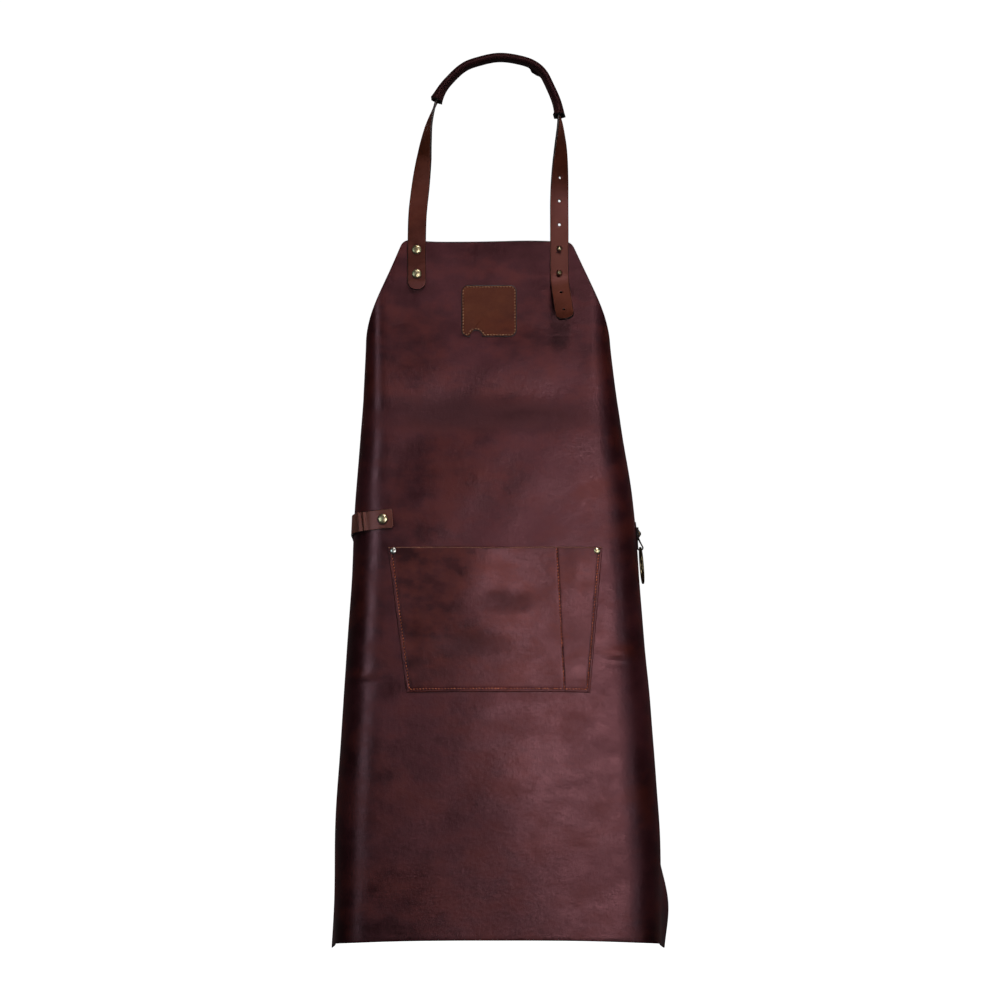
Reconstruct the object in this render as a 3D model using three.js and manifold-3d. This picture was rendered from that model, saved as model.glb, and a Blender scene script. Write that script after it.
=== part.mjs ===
// A leather apron in the form that it has when worn: a body wrapped round a front and two sides, a patch
// pocket, a bare label, a neck strap in a soft sleeve, a waist strap, and a ring in a tab on the right side.
// Millimetres, +Z up. The front faces -Y, and the origin is under the sleeve, where it lies on the neck.
import * as THREE from 'three';
import { mergeVertices } from 'three/addons/utils/BufferGeometryUtils.js';
import Module from 'manifold-3d';

const wasm = await Module();
wasm.setup();

// Driving dimensions
const GAP = 0.3; // clearance between neighbouring pieces
const BODY_THICK = 2;
const POCKET_THICK = 1.6;
const LABEL_THICK = 1.6;
const NECK_STRAP = { width: 22.5, thick: 2.8, round: 10 };
const WAIST_STRAP = { width: 24, thick: 2.6, round: 3 };
const BIB_TOP = -223; // height of the bib's top edge
const HEM = -1076; // height of the hem at the middle
const BIB_HALF = 102.5; // half the width of the bib's top edge
const CUT_HALF = 300; // half the width of the flat cut below the armholes
const FRONT_Y = -30; // where the bib's outer face lies
const REAR_DROOP = 24; // how much lower the rear edges hang than the middle
const ROUND_SIDES = 12; // sides of rivets and holes
const MERGE = 1e-4; // points closer than this are one
const DRILL_LENGTH = 30;
const TIP_SHARE = 0.06; // how far along a round end its last frame lies

// The wrapped form by height. centre is the middle's place across, forward how far it stands before the bib,
// front the half-width of the front, bow the angle that the front curves by up to there, bend the length of
// leather that takes the corner, and turn the angle at which the side panel leaves it.
const FORM = [
  { z: -223, centre: -9.5, forward: 0, front: 117, bow: 0, bend: 52, turn: 94 },
  { z: -345, centre: -8.6, forward: 0, front: 117, bow: 0, bend: 55, turn: 94 },
  { z: -440, centre: -4.6, forward: 3, front: 121.5, bow: 2, bend: 65, turn: 94 },
  { z: -538, centre: -1.2, forward: 5, front: 128, bow: 4, bend: 75, turn: 93 },
  { z: -636, centre: 0.8, forward: 6, front: 131, bow: 4, bend: 80, turn: 92 },
  { z: -783, centre: 2, forward: 6, front: 136, bow: 4, bend: 90, turn: 91 },
  { z: -930, centre: 2.8, forward: 5, front: 143, bow: 4, bend: 95, turn: 90 },
  { z: -1080, centre: 3, forward: 3, front: 151, bow: 4, bend: 85, turn: 90 },
];
const SECTION_STEP = 4; // length of one step along a section

// The armhole: a straight slant from the bib's corner, then a curve that runs out level to the side edge
const ARMHOLE = { slantEnd: -316, slantHalf: 145.5, curveHalf: 186, end: -398 };

// Soft folds across the chest: place, push outwards, and reach across and up
const FOLDS = [
  { s: 20, z: -404, push: 3.2, wide: 110, tall: 22 },
  { s: -55, z: -441, push: -2.4, wide: 60, tall: 14 },
  { s: 75, z: -448, push: -1.8, wide: 50, tall: 14 },
];
const FOLDS_END = -470; // height below which there are no folds

// How far the rear edges curl outwards near the hem, by height, over the last stretch of the side panels
const FLARE = [
  { z: -960, left: 0, right: 0 },
  { z: -1020, left: 1, right: 12 },
  { z: -1080, left: 5, right: 9 },
];
const FLARE_REACH = 60;

// Pocket corners across and up, the divider's place on its top and bottom edges, and its bulge
const POCKET = {
  left: { top: -130.5, bottom: -108 },
  right: { top: 131, bottom: 116 },
  divider: { top: 75, bottom: 84.5 },
  top: -594,
  bottom: -772,
  puff: 9.5,
  seam: 11, // flat margin along a seam
  roundAcross: 0.7, // powers that shape the bulge: low is full
  roundUp: 2.5,
};

const LABEL = { left: -41, right: 26.5, top: -276, bottom: -339, corner: 8, notchAt: -23, notchRadius: 7.5 };

// The neck strap's route from its riveted left end, over the neck, to its free right end. twist turns its
// grain side from the front to the outside of the loop.
const NECK_ROUTE = [
  { x: -95.5, y: -35.5, z: -281.5, twist: 0 },
  { x: -95.5, y: -31.8, z: -271, twist: 0 },
  { x: -95.5, y: -31.7, z: -266, twist: 0 },
  { x: -95.5, y: -31.7, z: -228, twist: 0 },
  { x: -94.5, y: -30.5, z: -190, twist: 0 },
  { x: -91.4, y: -27, z: -160, twist: 8 },
  { x: -87, y: -19, z: -122, twist: 40 },
  { x: -84.6, y: -14, z: -101, twist: 55 },
  { x: -81, y: -8, z: -79, twist: 74 },
  { x: -76, y: -3.5, z: -62, twist: 86 },
  { x: -70, y: -1, z: -46, twist: 96 },
  { x: -60, y: 0, z: -28.5, twist: 96 },
  { x: -38, y: 0, z: -8.5, twist: 96 },
  { x: -20, y: 0, z: -0.8, twist: 96 },
  { x: 2, y: 0, z: 3.3, twist: 96 },
  { x: 28, y: 0, z: 1.3, twist: 96 },
  { x: 45, y: 0, z: -4.5, twist: 96 },
  { x: 58.5, y: 0, z: -15.5, twist: 96 },
  { x: 69.5, y: -0.5, z: -36, twist: 96 },
  { x: 77, y: -1.5, z: -58, twist: 96 },
  { x: 79.5, y: -4, z: -74, twist: 82 },
  { x: 80.4, y: -10, z: -103, twist: 55 },
  { x: 79.2, y: -19.5, z: -143, twist: 22 },
  { x: 78.5, y: -26, z: -173, twist: 8 },
  { x: 78.5, y: -30.8, z: -208, twist: 0 },
  { x: 78.5, y: -31.7, z: -226, twist: 0 },
  { x: 78.5, y: -31.7, z: -258, twist: 0 },
  { x: 78.6, y: -31.9, z: -264, twist: 0 },
  { x: 79.3, y: -35.7, z: -274.5, twist: 0 },
  { x: 80.8, y: -45, z: -285.6, twist: 0 },
  { x: 84, y: -64.7, z: -307.4, twist: 0 },
  { x: 86.5, y: -76.7, z: -318.5, twist: 0 },
];
const NECK_STEPS = 3; // frames for each row of the route
const NECK_RIVETS = [{ name: 'upper', z: -232 }, { name: 'lower', z: -261.5 }];
const HOLES = { count: 7, pitch: 29.4, fromTip: 16, radius: 2.2 };
const STUD_HOLES = [{ name: 'lower', hole: 2 }, { name: 'upper', hole: 3 }];

// The sleeve round the strap: its ends as rows of the route, its size, and the lip that stands out of its
// front edge near the right end
const SLEEVE = { from: 10.2, to: 19.4, width: 32, thick: 6.6, edge: 3.2, bore: 3.5, spare: 0.9 };
const LIP = { at: 17, reach: 0.7, drop: 4 };

// The waist strap: where it starts on the left and ends on the right across the flat cut, its height at the
// rivet, its fall for each millimetre across, and the free stretch round the back
const WAIST = { start: -124, rivet: -136, end: 226, stud: 246, z: -561, fall: 0.075, leave: 299 };
const WAIST_BACK = [
  { x: -171, y: 150, z: -604 },
  { x: -136, y: 190, z: -608 },
  { x: -76, y: 214, z: -611 },
  { x: 0, y: 221, z: -612 },
  { x: 76, y: 214, z: -611 },
  { x: 136, y: 190, z: -608 },
  { x: 171, y: 150, z: -604 },
];
const WAIST_STEP = 6; // length between frames on the body
const BACK_STEPS = 5; // frames for each row of the stretch round the back

// The ring and its folded tab on the right side panel, in the panel's own directions
const RING = { radius: 21.6, wire: 1.4, sides: 24, wireSides: 8 };
const TAB = {
  s: 208,
  z: -578,
  thick: 1.3,
  wide: 24,
  narrow: 11,
  top: 14,
  fold: -11.5,
  bore: 2.5,
  rivet: 6,
  join: 1, // height at which the front layer meets the back one
  wrap: 30, // degrees by which the fold goes round past level
};
const FOLD_STEPS = 10;

// Fasteners: radius and height of the head, radius of the shank, radius and height of the back cap
const NECK_RIVET = { head: 5.8, height: 2.6, shank: 1.8, cap: 4.6, capHeight: 1 };
const POCKET_RIVET = { head: 3.8, height: 1.8, shank: 1.3, cap: 3.4, capHeight: 0.8 };
const WAIST_RIVET = { head: 6.2, height: 2.8, shank: 1.8, cap: 4.6, capHeight: 1 };
const TAB_RIVET = { head: 4.6, height: 1.8, shank: 1.5, cap: 4, capHeight: 0.8 };
const STUD = { ball: 3.3, neck: 1.9, cap: 5, capHeight: 1, rise: 0.2, arcs: 5 };
// The profile of a domed head, as shares of its radius and height
const DOME = [
  { radius: 1, height: 0 },
  { radius: 1, height: 0.3 },
  { radius: 0.8, height: 0.72 },
  { radius: 0.42, height: 0.94 },
  { radius: 0, height: 1 },
];

// Materials
const BODY_LEATHER = { color: 0x4a262b, roughness: 0.5, metalness: 0 };
const SLEEVE_LEATHER = { color: 0x33191d, roughness: 0.6, metalness: 0 };
const STRAP_LEATHER = { color: 0x5a3325, roughness: 0.5, metalness: 0 };
const BRASS = { color: 0x9a7f52, roughness: 0.35, metalness: 1 };

const FRONT = new THREE.Vector3(0, -1, 0);
const UP = new THREE.Vector3(0, 0, 1);
const apron = new THREE.Group();
const radians = THREE.MathUtils.degToRad;
const lerp = THREE.MathUtils.lerp;
const smooth = (x) => THREE.MathUtils.smoothstep(x, 0, 1);

// A table's columns at a height, on a smooth curve through its rows, which run downwards
function rowAt(table, z) {
  const last = table.length - 1;
  let low = 0;
  while (low < last - 1 && z < table[low + 1].z) low += 1;
  const span = table[low].z - table[low + 1].z;
  const t = THREE.MathUtils.clamp((table[low].z - z) / span, 0, 1);
  const slope = (i, key) => {
    const a = Math.max(i - 1, 0);
    const b = Math.min(i + 1, last);
    return ((table[b][key] - table[a][key]) / (table[a].z - table[b].z)) * span;
  };
  const row = {};
  for (const key of Object.keys(table[0])) {
    const [p, q] = [table[low][key], table[low + 1][key]];
    const [a, b] = [slope(low, key), slope(low + 1, key)];
    row[key] = p + t * (a + t * (3 * (q - p) - 2 * a - b + t * (2 * (p - q) + a + b)));
  }
  return row;
}

// The direction of the section at a length s from the middle
function turnAt(form, s) {
  const bow = form.bow * Math.min(s / form.front, 1);
  return radians(bow + (form.turn - form.bow) * smooth((s - form.front) / form.bend));
}

function foldAt(s, z) {
  let push = 0;
  for (const fold of FOLDS) {
    push += fold.push * Math.exp(-(((s - fold.s) / fold.wide) ** 2) - ((z - fold.z) / fold.tall) ** 2);
  }
  return push;
}

function flareAt(s, z) {
  const row = rowAt(FLARE, Math.min(z, FLARE[0].z));
  const share = Math.max(0, (Math.abs(s) - CUT_HALF + FLARE_REACH) / FLARE_REACH);
  return (s < 0 ? row.left : row.right) * share ** 2;
}

// The outward direction of the wrapped body at a place on the flat cut
function bodyNormal(s, z) {
  const turn = turnAt(rowAt(FORM, z), Math.abs(s));
  return new THREE.Vector3(Math.sign(s) * Math.sin(turn), -Math.cos(turn), 0);
}

// A place on the flat cut, s across and z up, carried onto the wrapped body and out of its face by h
function onBody(s, z, h) {
  const form = rowAt(FORM, z);
  const length = Math.abs(s);
  const steps = Math.max(1, Math.ceil(length / SECTION_STEP));
  let [x, y] = [0, 0];
  for (let i = 0; i < steps; i += 1) {
    const turn = turnAt(form, ((i + 0.5) * length) / steps);
    x += (Math.cos(turn) * length) / steps;
    y += (Math.sin(turn) * length) / steps;
  }
  const droop = REAR_DROOP * (length / CUT_HALF) ** 3;
  const place = new THREE.Vector3(form.centre + Math.sign(s) * x, FRONT_Y - form.forward + y, z - droop);
  return place.addScaledVector(bodyNormal(s, z), h + foldAt(s, z) + flareAt(s, z));
}

// The wrapped body's own directions at a place on the flat cut: across, up and out
function bodyDirections(s, z) {
  const across = onBody(s + 1, z, 0).sub(onBody(s - 1, z, 0)).normalize();
  const up = onBody(s, z + 1, 0).sub(onBody(s, z - 1, 0)).normalize();
  const out = across.clone().cross(up).normalize();
  return { across, up: out.clone().cross(across), out };
}

// A box of columns and rows whose points are moved by place(across, up, face): across and up run from 0 to 1,
// and face is 0 on its back and 1 on its front
function moulded(columns, rows, place) {
  const box = new THREE.BoxGeometry(1, 1, 1, columns, rows, 1);
  const at = box.attributes.position;
  for (let i = 0; i < at.count; i += 1) {
    const across = Math.round((at.getX(i) + 0.5) * columns) / columns;
    const up = Math.round((at.getY(i) + 0.5) * rows) / rows;
    const p = place(across, up, Math.round(at.getZ(i) + 0.5));
    at.setXYZ(i, p.x, p.y, p.z);
  }
  return box;
}

function solidOf(geometry) {
  const bare = geometry.clone();
  bare.deleteAttribute('normal');
  bare.deleteAttribute('uv');
  const merged = mergeVertices(bare, MERGE);
  const vertProperties = merged.attributes.position.array;
  const triVerts = Uint32Array.from(merged.index.array);
  return new wasm.Manifold(new wasm.Mesh({ numProp: 3, vertProperties, triVerts }));
}

// A geometry with the cutters' space taken out of it
function cutFrom(geometry, cutters) {
  let solid = solidOf(geometry);
  for (const cutter of cutters) solid = solid.subtract(solidOf(cutter));
  const mesh = solid.getMesh();
  const result = new THREE.BufferGeometry();
  result.setAttribute('position', new THREE.BufferAttribute(mesh.vertProperties, 3));
  result.setIndex(new THREE.BufferAttribute(mesh.triVerts, 1));
  result.computeVertexNormals();
  return result;
}

// A cutter for a round hole
function drill(at, along, radius) {
  const geometry = new THREE.CylinderGeometry(radius, radius, DRILL_LENGTH, ROUND_SIDES);
  const turn = new THREE.Quaternion().setFromUnitVectors(new THREE.Vector3(0, 1, 0), along);
  return geometry.applyQuaternion(turn).translate(at.x, at.y, at.z);
}

function add(name, geometry, look) {
  const mesh = new THREE.Mesh(geometry, new THREE.MeshStandardMaterial(look));
  mesh.name = name;
  apron.add(mesh);
  return mesh;
}

// A rivet whose head's underside is at the origin and whose back cap lies a grip further down the Y axis
function rivetShape(rivet, grip) {
  const profile = [
    [0, -grip - rivet.capHeight],
    [rivet.cap, -grip - rivet.capHeight],
    [rivet.cap, -grip],
    [rivet.shank, -grip],
    [rivet.shank, 0],
    ...DOME.map(({ radius, height }) => [radius * rivet.head, height * rivet.height]),
  ];
  return new THREE.LatheGeometry(profile.map(([r, y]) => new THREE.Vector2(r, y)), ROUND_SIDES);
}

// A stud: a neck through the strap, and a ball that stands on it
function studShape(grip) {
  const profile = [
    [0, -grip - STUD.capHeight],
    [STUD.cap, -grip - STUD.capHeight],
    [STUD.cap, -grip],
    [STUD.neck, -grip],
    [STUD.neck, STUD.rise],
  ];
  const start = Math.asin(STUD.neck / STUD.ball);
  const middle = STUD.rise + Math.cos(start) * STUD.ball;
  for (let i = 1; i <= STUD.arcs; i += 1) {
    const angle = lerp(start, Math.PI, i / STUD.arcs);
    profile.push([Math.sin(angle) * STUD.ball, middle - Math.cos(angle) * STUD.ball]);
  }
  profile[profile.length - 1][0] = 0;
  return new THREE.LatheGeometry(profile.map(([r, y]) => new THREE.Vector2(r, y)), ROUND_SIDES);
}

function addFastener(name, geometry, at, along) {
  const mesh = add(name, geometry, BRASS);
  mesh.position.copy(at);
  mesh.quaternion.setFromUnitVectors(new THREE.Vector3(0, 1, 0), along);
}

// A strip of leather along frames, each with a place, a grain side and a half-width
function strip(frames, thick) {
  const last = frames.length - 1;
  const along = frames.map((_, i) => {
    const ahead = frames[Math.min(i + 1, last)].at;
    return ahead.clone().sub(frames[Math.max(i - 1, 0)].at).normalize();
  });
  return moulded(1, last, (across, up, face) => {
    const i = Math.round(up * last);
    const wide = along[i].clone().cross(frames[i].normal).normalize();
    const place = frames[i].at.clone().addScaledVector(wide, (2 * across - 1) * frames[i].half);
    return place.addScaledVector(frames[i].normal, (face - 0.5) * thick);
  });
}

// The lengths along a list of frames
function lengthsOf(frames) {
  const lengths = [0];
  for (let i = 1; i < frames.length; i += 1) {
    lengths.push(lengths[i - 1] + frames[i].at.distanceTo(frames[i - 1].at));
  }
  return lengths;
}

// Half the width of a strap at a distance from its end, with the end rounded off
function roundedHalf(strap, distance) {
  const half = strap.width / 2;
  if (distance >= strap.round) return half;
  const back = strap.round - Math.max(distance, TIP_SHARE * strap.round);
  return half - strap.round + Math.sqrt(strap.round ** 2 - back ** 2);
}

// The apron's body
function halfWidthAt(z) {
  if (z >= ARMHOLE.slantEnd) {
    return lerp(BIB_HALF, ARMHOLE.slantHalf, (BIB_TOP - z) / (BIB_TOP - ARMHOLE.slantEnd));
  }
  if (z <= ARMHOLE.end) return CUT_HALF;
  const u = 1 - Math.sqrt((z - ARMHOLE.end) / (ARMHOLE.slantEnd - ARMHOLE.end));
  return ARMHOLE.slantHalf * (1 - u) ** 2 + 2 * ARMHOLE.curveHalf * u * (1 - u) + CUT_HALF * u ** 2;
}

// Heights of the body's rows: close together round the armholes and the chest folds
function bodyRows() {
  const stretches = [
    { to: ARMHOLE.slantEnd, rows: 4, crowd: 1 },
    { to: ARMHOLE.end, rows: 7, crowd: 2 },
    { to: FOLDS_END, rows: 6, crowd: 1 },
    { to: HEM, rows: 12, crowd: 1 },
  ];
  const heights = [BIB_TOP];
  for (const { to, rows, crowd } of stretches) {
    const from = heights[heights.length - 1];
    for (let i = 1; i <= rows; i += 1) heights.push(lerp(to, from, (1 - i / rows) ** crowd));
  }
  return heights.reverse();
}

// A place across the flat cut for a column of the body, as a share of its columns from the middle to the
// edge: columns are wide apart on the front and the side, and close together in the corner
function bodyColumn(share, z) {
  const spacing = { front: 20, bend: 8, side: 26 };
  const form = rowAt(FORM, z);
  const half = halfWidthAt(z);
  const front = Math.min(half, form.front);
  const bend = Math.min(half - front, form.bend);
  const counts = [front / spacing.front, bend / spacing.bend, (half - front - bend) / spacing.side];
  let left = Math.abs(share) * (counts[0] + counts[1] + counts[2]);
  let s = 0;
  [spacing.front, spacing.bend, spacing.side].forEach((space, i) => {
    const taken = Math.min(left, counts[i]);
    s += taken * space;
    left -= taken;
  });
  return Math.sign(share) * s;
}

function bodyShape() {
  const columns = 36;
  const heights = bodyRows();
  return moulded(columns, heights.length - 1, (across, up, face) => {
    const z = heights[Math.round(up * (heights.length - 1))];
    return onBody(bodyColumn(2 * across - 1, z), z, (face - 1) * BODY_THICK);
  });
}

// A place between two seams of the pocket for a column: the flat margins, and even steps between them
function pocketPlace(column, columns, from, to) {
  const open = THREE.MathUtils.clamp((column - 1) / (columns - 2), 0, 1);
  if (column === 0) return { x: from, open };
  if (column === columns) return { x: to, open };
  return { x: lerp(from + POCKET.seam, to - POCKET.seam, open), open };
}

// The pocket's panel: its place on the flat cut, and how far it stands off the body
function pocketShape() {
  const columns = { main: 10, pen: 7 };
  const rows = 8;
  const all = columns.main + columns.pen;
  return moulded(all, rows, (across, up, face) => {
    const z = lerp(POCKET.bottom, POCKET.top, up);
    const [left, middle, right] = [POCKET.left, POCKET.divider, POCKET.right].map((edge) =>
      lerp(edge.bottom, edge.top, up));
    const column = Math.round(across * all);
    const main = column <= columns.main;
    const { x, open } = main
      ? pocketPlace(column, columns.main, left, middle)
      : pocketPlace(column - columns.main, columns.pen, middle, right);
    const full = Math.sin(Math.PI * open) ** POCKET.roundAcross * (1 - (1 - up) ** POCKET.roundUp);
    const puff = POCKET.puff * full;
    return onBody(x - rowAt(FORM, z).centre, z, GAP + puff + face * POCKET_THICK);
  });
}

// The label: a patch with round corners and a half-round notch in its lower edge
function labelShape() {
  const { left, right, top, bottom, corner, notchAt, notchRadius } = LABEL;
  const quarter = Math.PI / 2;
  const outline = new THREE.Shape();
  outline.absarc(right - corner, top - corner, corner, 0, quarter);
  outline.absarc(left + corner, top - corner, corner, quarter, 2 * quarter);
  outline.absarc(left + corner, bottom + corner, corner, 2 * quarter, 3 * quarter);
  outline.absarc(notchAt, bottom, notchRadius, 2 * quarter, 0, true);
  outline.absarc(right - corner, bottom + corner, corner, 3 * quarter, 4 * quarter);
  return new THREE.ExtrudeGeometry(outline, { depth: LABEL_THICK, bevelEnabled: false, curveSegments: 6 });
}

// The neck strap's frame at a place along its route, counted in rows
const neckCurve = new THREE.CatmullRomCurve3(NECK_ROUTE.map(({ x, y, z }) => new THREE.Vector3(x, y, z)));

function neckFrame(row) {
  const last = NECK_ROUTE.length - 1;
  const at = neckCurve.getPoint(row / last);
  const along = neckCurve.getTangent(row / last);
  const low = Math.min(Math.floor(row), last - 1);
  const twist = radians(lerp(NECK_ROUTE[low].twist, NECK_ROUTE[low + 1].twist, row - low));
  const front = FRONT.clone().addScaledVector(along, -FRONT.dot(along)).normalize();
  const out = front.clone().cross(along);
  const normal = front.multiplyScalar(Math.cos(twist)).addScaledVector(out, Math.sin(twist));
  return { at, normal };
}

function neckFrames() {
  const frames = [];
  const all = (NECK_ROUTE.length - 1) * NECK_STEPS;
  for (let i = 0; i <= all; i += 1) frames.push(neckFrame(i / NECK_STEPS));
  const lengths = lengthsOf(frames);
  const whole = lengths[all];
  frames.forEach((frame, i) => {
    frame.half = roundedHalf(NECK_STRAP, Math.min(lengths[i], whole - lengths[i]));
  });
  return frames;
}

// The neck strap's frame at a distance back from its free tip
function frameFromTip(distance) {
  const step = 0.02;
  let row = NECK_ROUTE.length - 1;
  let gone = 0;
  while (gone < distance) {
    const here = neckFrame(row).at;
    row -= step;
    gone += neckFrame(row).at.distanceTo(here);
  }
  return neckFrame(row);
}

// The sleeve's solid, thin along its sewn edges, and the space for the strap inside it
function sleeveShape() {
  const rows = 22;
  const spareRows = 0.3;
  const columns = 6;
  const around = (row, wide, half) => {
    const { at, normal } = neckFrame(row);
    const side = neckCurve.getTangent(row / (NECK_ROUTE.length - 1)).cross(normal);
    return at.addScaledVector(side, wide).addScaledVector(normal, half);
  };
  const outer = moulded(columns, rows, (across, up, face) => {
    const row = lerp(SLEEVE.from, SLEEVE.to, up);
    const wide = 2 * across - 1;
    const full = NECK_STRAP.width / SLEEVE.width;
    const edge = smooth((Math.abs(wide) - full) / (1 - full));
    const half = lerp(SLEEVE.thick, SLEEVE.edge, edge) / 2;
    const lip = LIP.drop * Math.exp(-(((row - LIP.at) / LIP.reach) ** 2)) * smooth(-2 * wide - 1);
    return around(row, (wide * SLEEVE.width) / 2, (2 * face - 1) * half - lip);
  });
  const inner = moulded(1, rows + 2, (across, up, face) => {
    const row = lerp(SLEEVE.from - spareRows, SLEEVE.to + spareRows, up);
    const half = NECK_STRAP.width / 2 + SLEEVE.spare;
    return around(row, (2 * across - 1) * half, (face - 0.5) * SLEEVE.bore);
  });
  return cutFrom(outer, [inner]);
}

// The waist strap's frames: on the left of the body, round the back, and onto the right side panel
function waistHeight(s) {
  return WAIST.z - WAIST.fall * Math.max(0, Math.abs(s) - Math.abs(WAIST.rivet));
}

function waistFrame(s) {
  const z = waistHeight(s);
  const normal = bodyDirections(s, z).out;
  return { at: onBody(s, z, 0).addScaledVector(normal, GAP + WAIST_STRAP.thick / 2), normal };
}

function waistFrames() {
  const frames = [];
  for (let s = WAIST.start; s > -WAIST.leave; s -= WAIST_STEP) frames.push(waistFrame(s));
  const right = [];
  for (let s = WAIST.end; s < WAIST.leave; s += WAIST_STEP) right.unshift(waistFrame(s));
  const start = frames[frames.length - 1].at;
  const points = WAIST_BACK.map(({ x, y, z }) => new THREE.Vector3(x, y, z));
  const back = new THREE.CatmullRomCurve3([frames[frames.length - 2].at, start, ...points, right[0].at, right[1].at]);
  const pieces = WAIST_BACK.length + 3;
  for (let i = BACK_STEPS + 1; i < (pieces - 1) * BACK_STEPS; i += 1) {
    const t = i / (pieces * BACK_STEPS);
    const along = back.getTangent(t);
    frames.push({ at: back.getPoint(t), normal: UP.clone().cross(along).normalize().negate() });
  }
  frames.push(...right);
  const lengths = lengthsOf(frames);
  const whole = lengths[lengths.length - 1];
  frames.forEach((frame, i) => {
    frame.half = roundedHalf(WAIST_STRAP, Math.min(lengths[i], whole - lengths[i]));
  });
  return frames;
}

// The frame of the ring's tab on the right side panel, level so that the ring hangs straight down
function tabFrame() {
  const { out } = bodyDirections(TAB.s, TAB.z);
  const across = UP.clone().cross(out).normalize();
  const up = out.clone().cross(across);
  return new THREE.Matrix4().makeBasis(across, up, out).setPosition(onBody(TAB.s, TAB.z, 0));
}

// The tab's strip in the panel's directions: down its back layer, round the ring's bore, up its front layer
const TAB_BACK = GAP + TAB.thick / 2;
const TAB_FRONT = TAB_BACK + TAB.thick + GAP;
const TAB_FOLD_RADIUS = TAB.bore + TAB.thick / 2;
const RING_AXIS = TAB_BACK + TAB_FOLD_RADIUS;

function tabFrames() {
  const line = [
    { out: TAB_BACK, up: TAB.top },
    { out: TAB_BACK, up: TAB.rivet },
  ];
  for (let i = 0; i <= FOLD_STEPS; i += 1) {
    const angle = lerp(Math.PI, 2 * Math.PI + radians(TAB.wrap), i / FOLD_STEPS);
    line.push({
      out: RING_AXIS + TAB_FOLD_RADIUS * Math.cos(angle),
      up: TAB.fold + TAB_FOLD_RADIUS * Math.sin(angle),
    });
  }
  line.push({ out: TAB_FRONT, up: TAB.join }, { out: TAB_FRONT, up: TAB.rivet }, { out: TAB_FRONT, up: TAB.top });
  const last = line.length - 1;
  return line.map(({ out, up }, i) => {
    const a = line[Math.max(i - 1, 0)];
    const b = line[Math.min(i + 1, last)];
    const normal = new THREE.Vector3(0, a.out - b.out, b.up - a.up).normalize();
    const narrowing = smooth((TAB.rivet - up) / (TAB.rivet - TAB.fold));
    return { at: new THREE.Vector3(0, up, out), normal, half: lerp(TAB.wide, TAB.narrow, narrowing) / 2 };
  });
}

// Assembly: the body and what lies on its front
const bodyHoles = [];
const pocketHoles = [];
const strapHoles = [];
const waistHoles = [];
const strapTop = GAP + NECK_STRAP.thick;

for (const { name, z } of NECK_RIVETS) {
  const s = NECK_ROUTE[2].x - rowAt(FORM, z).centre;
  const hole = drill(onBody(s, z, 0), FRONT, NECK_RIVET.shank + GAP);
  bodyHoles.push(hole);
  strapHoles.push(hole);
  const grip = strapTop + BODY_THICK + 2 * GAP;
  addFastener(`neck_rivet_${name}`, rivetShape(NECK_RIVET, grip), onBody(s, z, strapTop + GAP), FRONT);
}

for (let i = 0; i < HOLES.count; i += 1) {
  const { at, normal } = frameFromTip(HOLES.fromTip + i * HOLES.pitch);
  const hole = drill(at, normal, HOLES.radius);
  strapHoles.push(hole);
  const stud = STUD_HOLES.find((row) => row.hole === i);
  if (!stud) continue;
  bodyHoles.push(hole);
  const grip = strapTop + BODY_THICK + 2 * GAP;
  const seat = at.clone().addScaledVector(normal, NECK_STRAP.thick / 2 + GAP);
  addFastener(`neck_stud_${stud.name}`, studShape(grip), seat, normal);
}

const cornerIn = { across: 6.5, down: 4.5 };
for (const [name, edge, side] of [['left', POCKET.left, 1], ['right', POCKET.right, -1]]) {
  const z = POCKET.top - cornerIn.down;
  const s = edge.top + side * cornerIn.across - rowAt(FORM, z).centre;
  const along = bodyDirections(s, z).out;
  const hole = drill(onBody(s, z, 0), along, POCKET_RIVET.shank + GAP);
  bodyHoles.push(hole);
  pocketHoles.push(hole);
  const grip = POCKET_THICK + BODY_THICK + 3 * GAP;
  const seat = onBody(s, z, 0).addScaledVector(along, POCKET_THICK + 2 * GAP);
  addFastener(`pocket_rivet_${name}`, rivetShape(POCKET_RIVET, grip), seat, along);
}

// The waist strap's rivet and stud
{
  const grip = WAIST_STRAP.thick + BODY_THICK + 3 * GAP;
  const lift = WAIST_STRAP.thick + 2 * GAP;
  const fasteners = [
    { name: 'waist_rivet', s: WAIST.rivet, shape: rivetShape(WAIST_RIVET, grip), radius: WAIST_RIVET.shank },
    { name: 'waist_stud', s: WAIST.stud, shape: studShape(grip), radius: STUD.neck },
  ];
  for (const { name, s, shape, radius } of fasteners) {
    const z = waistHeight(s);
    const along = bodyDirections(s, z).out;
    const hole = drill(onBody(s, z, 0), along, radius + GAP);
    bodyHoles.push(hole);
    waistHoles.push(hole);
    addFastener(name, shape, onBody(s, z, 0).addScaledVector(along, lift), along);
  }
}

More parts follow.
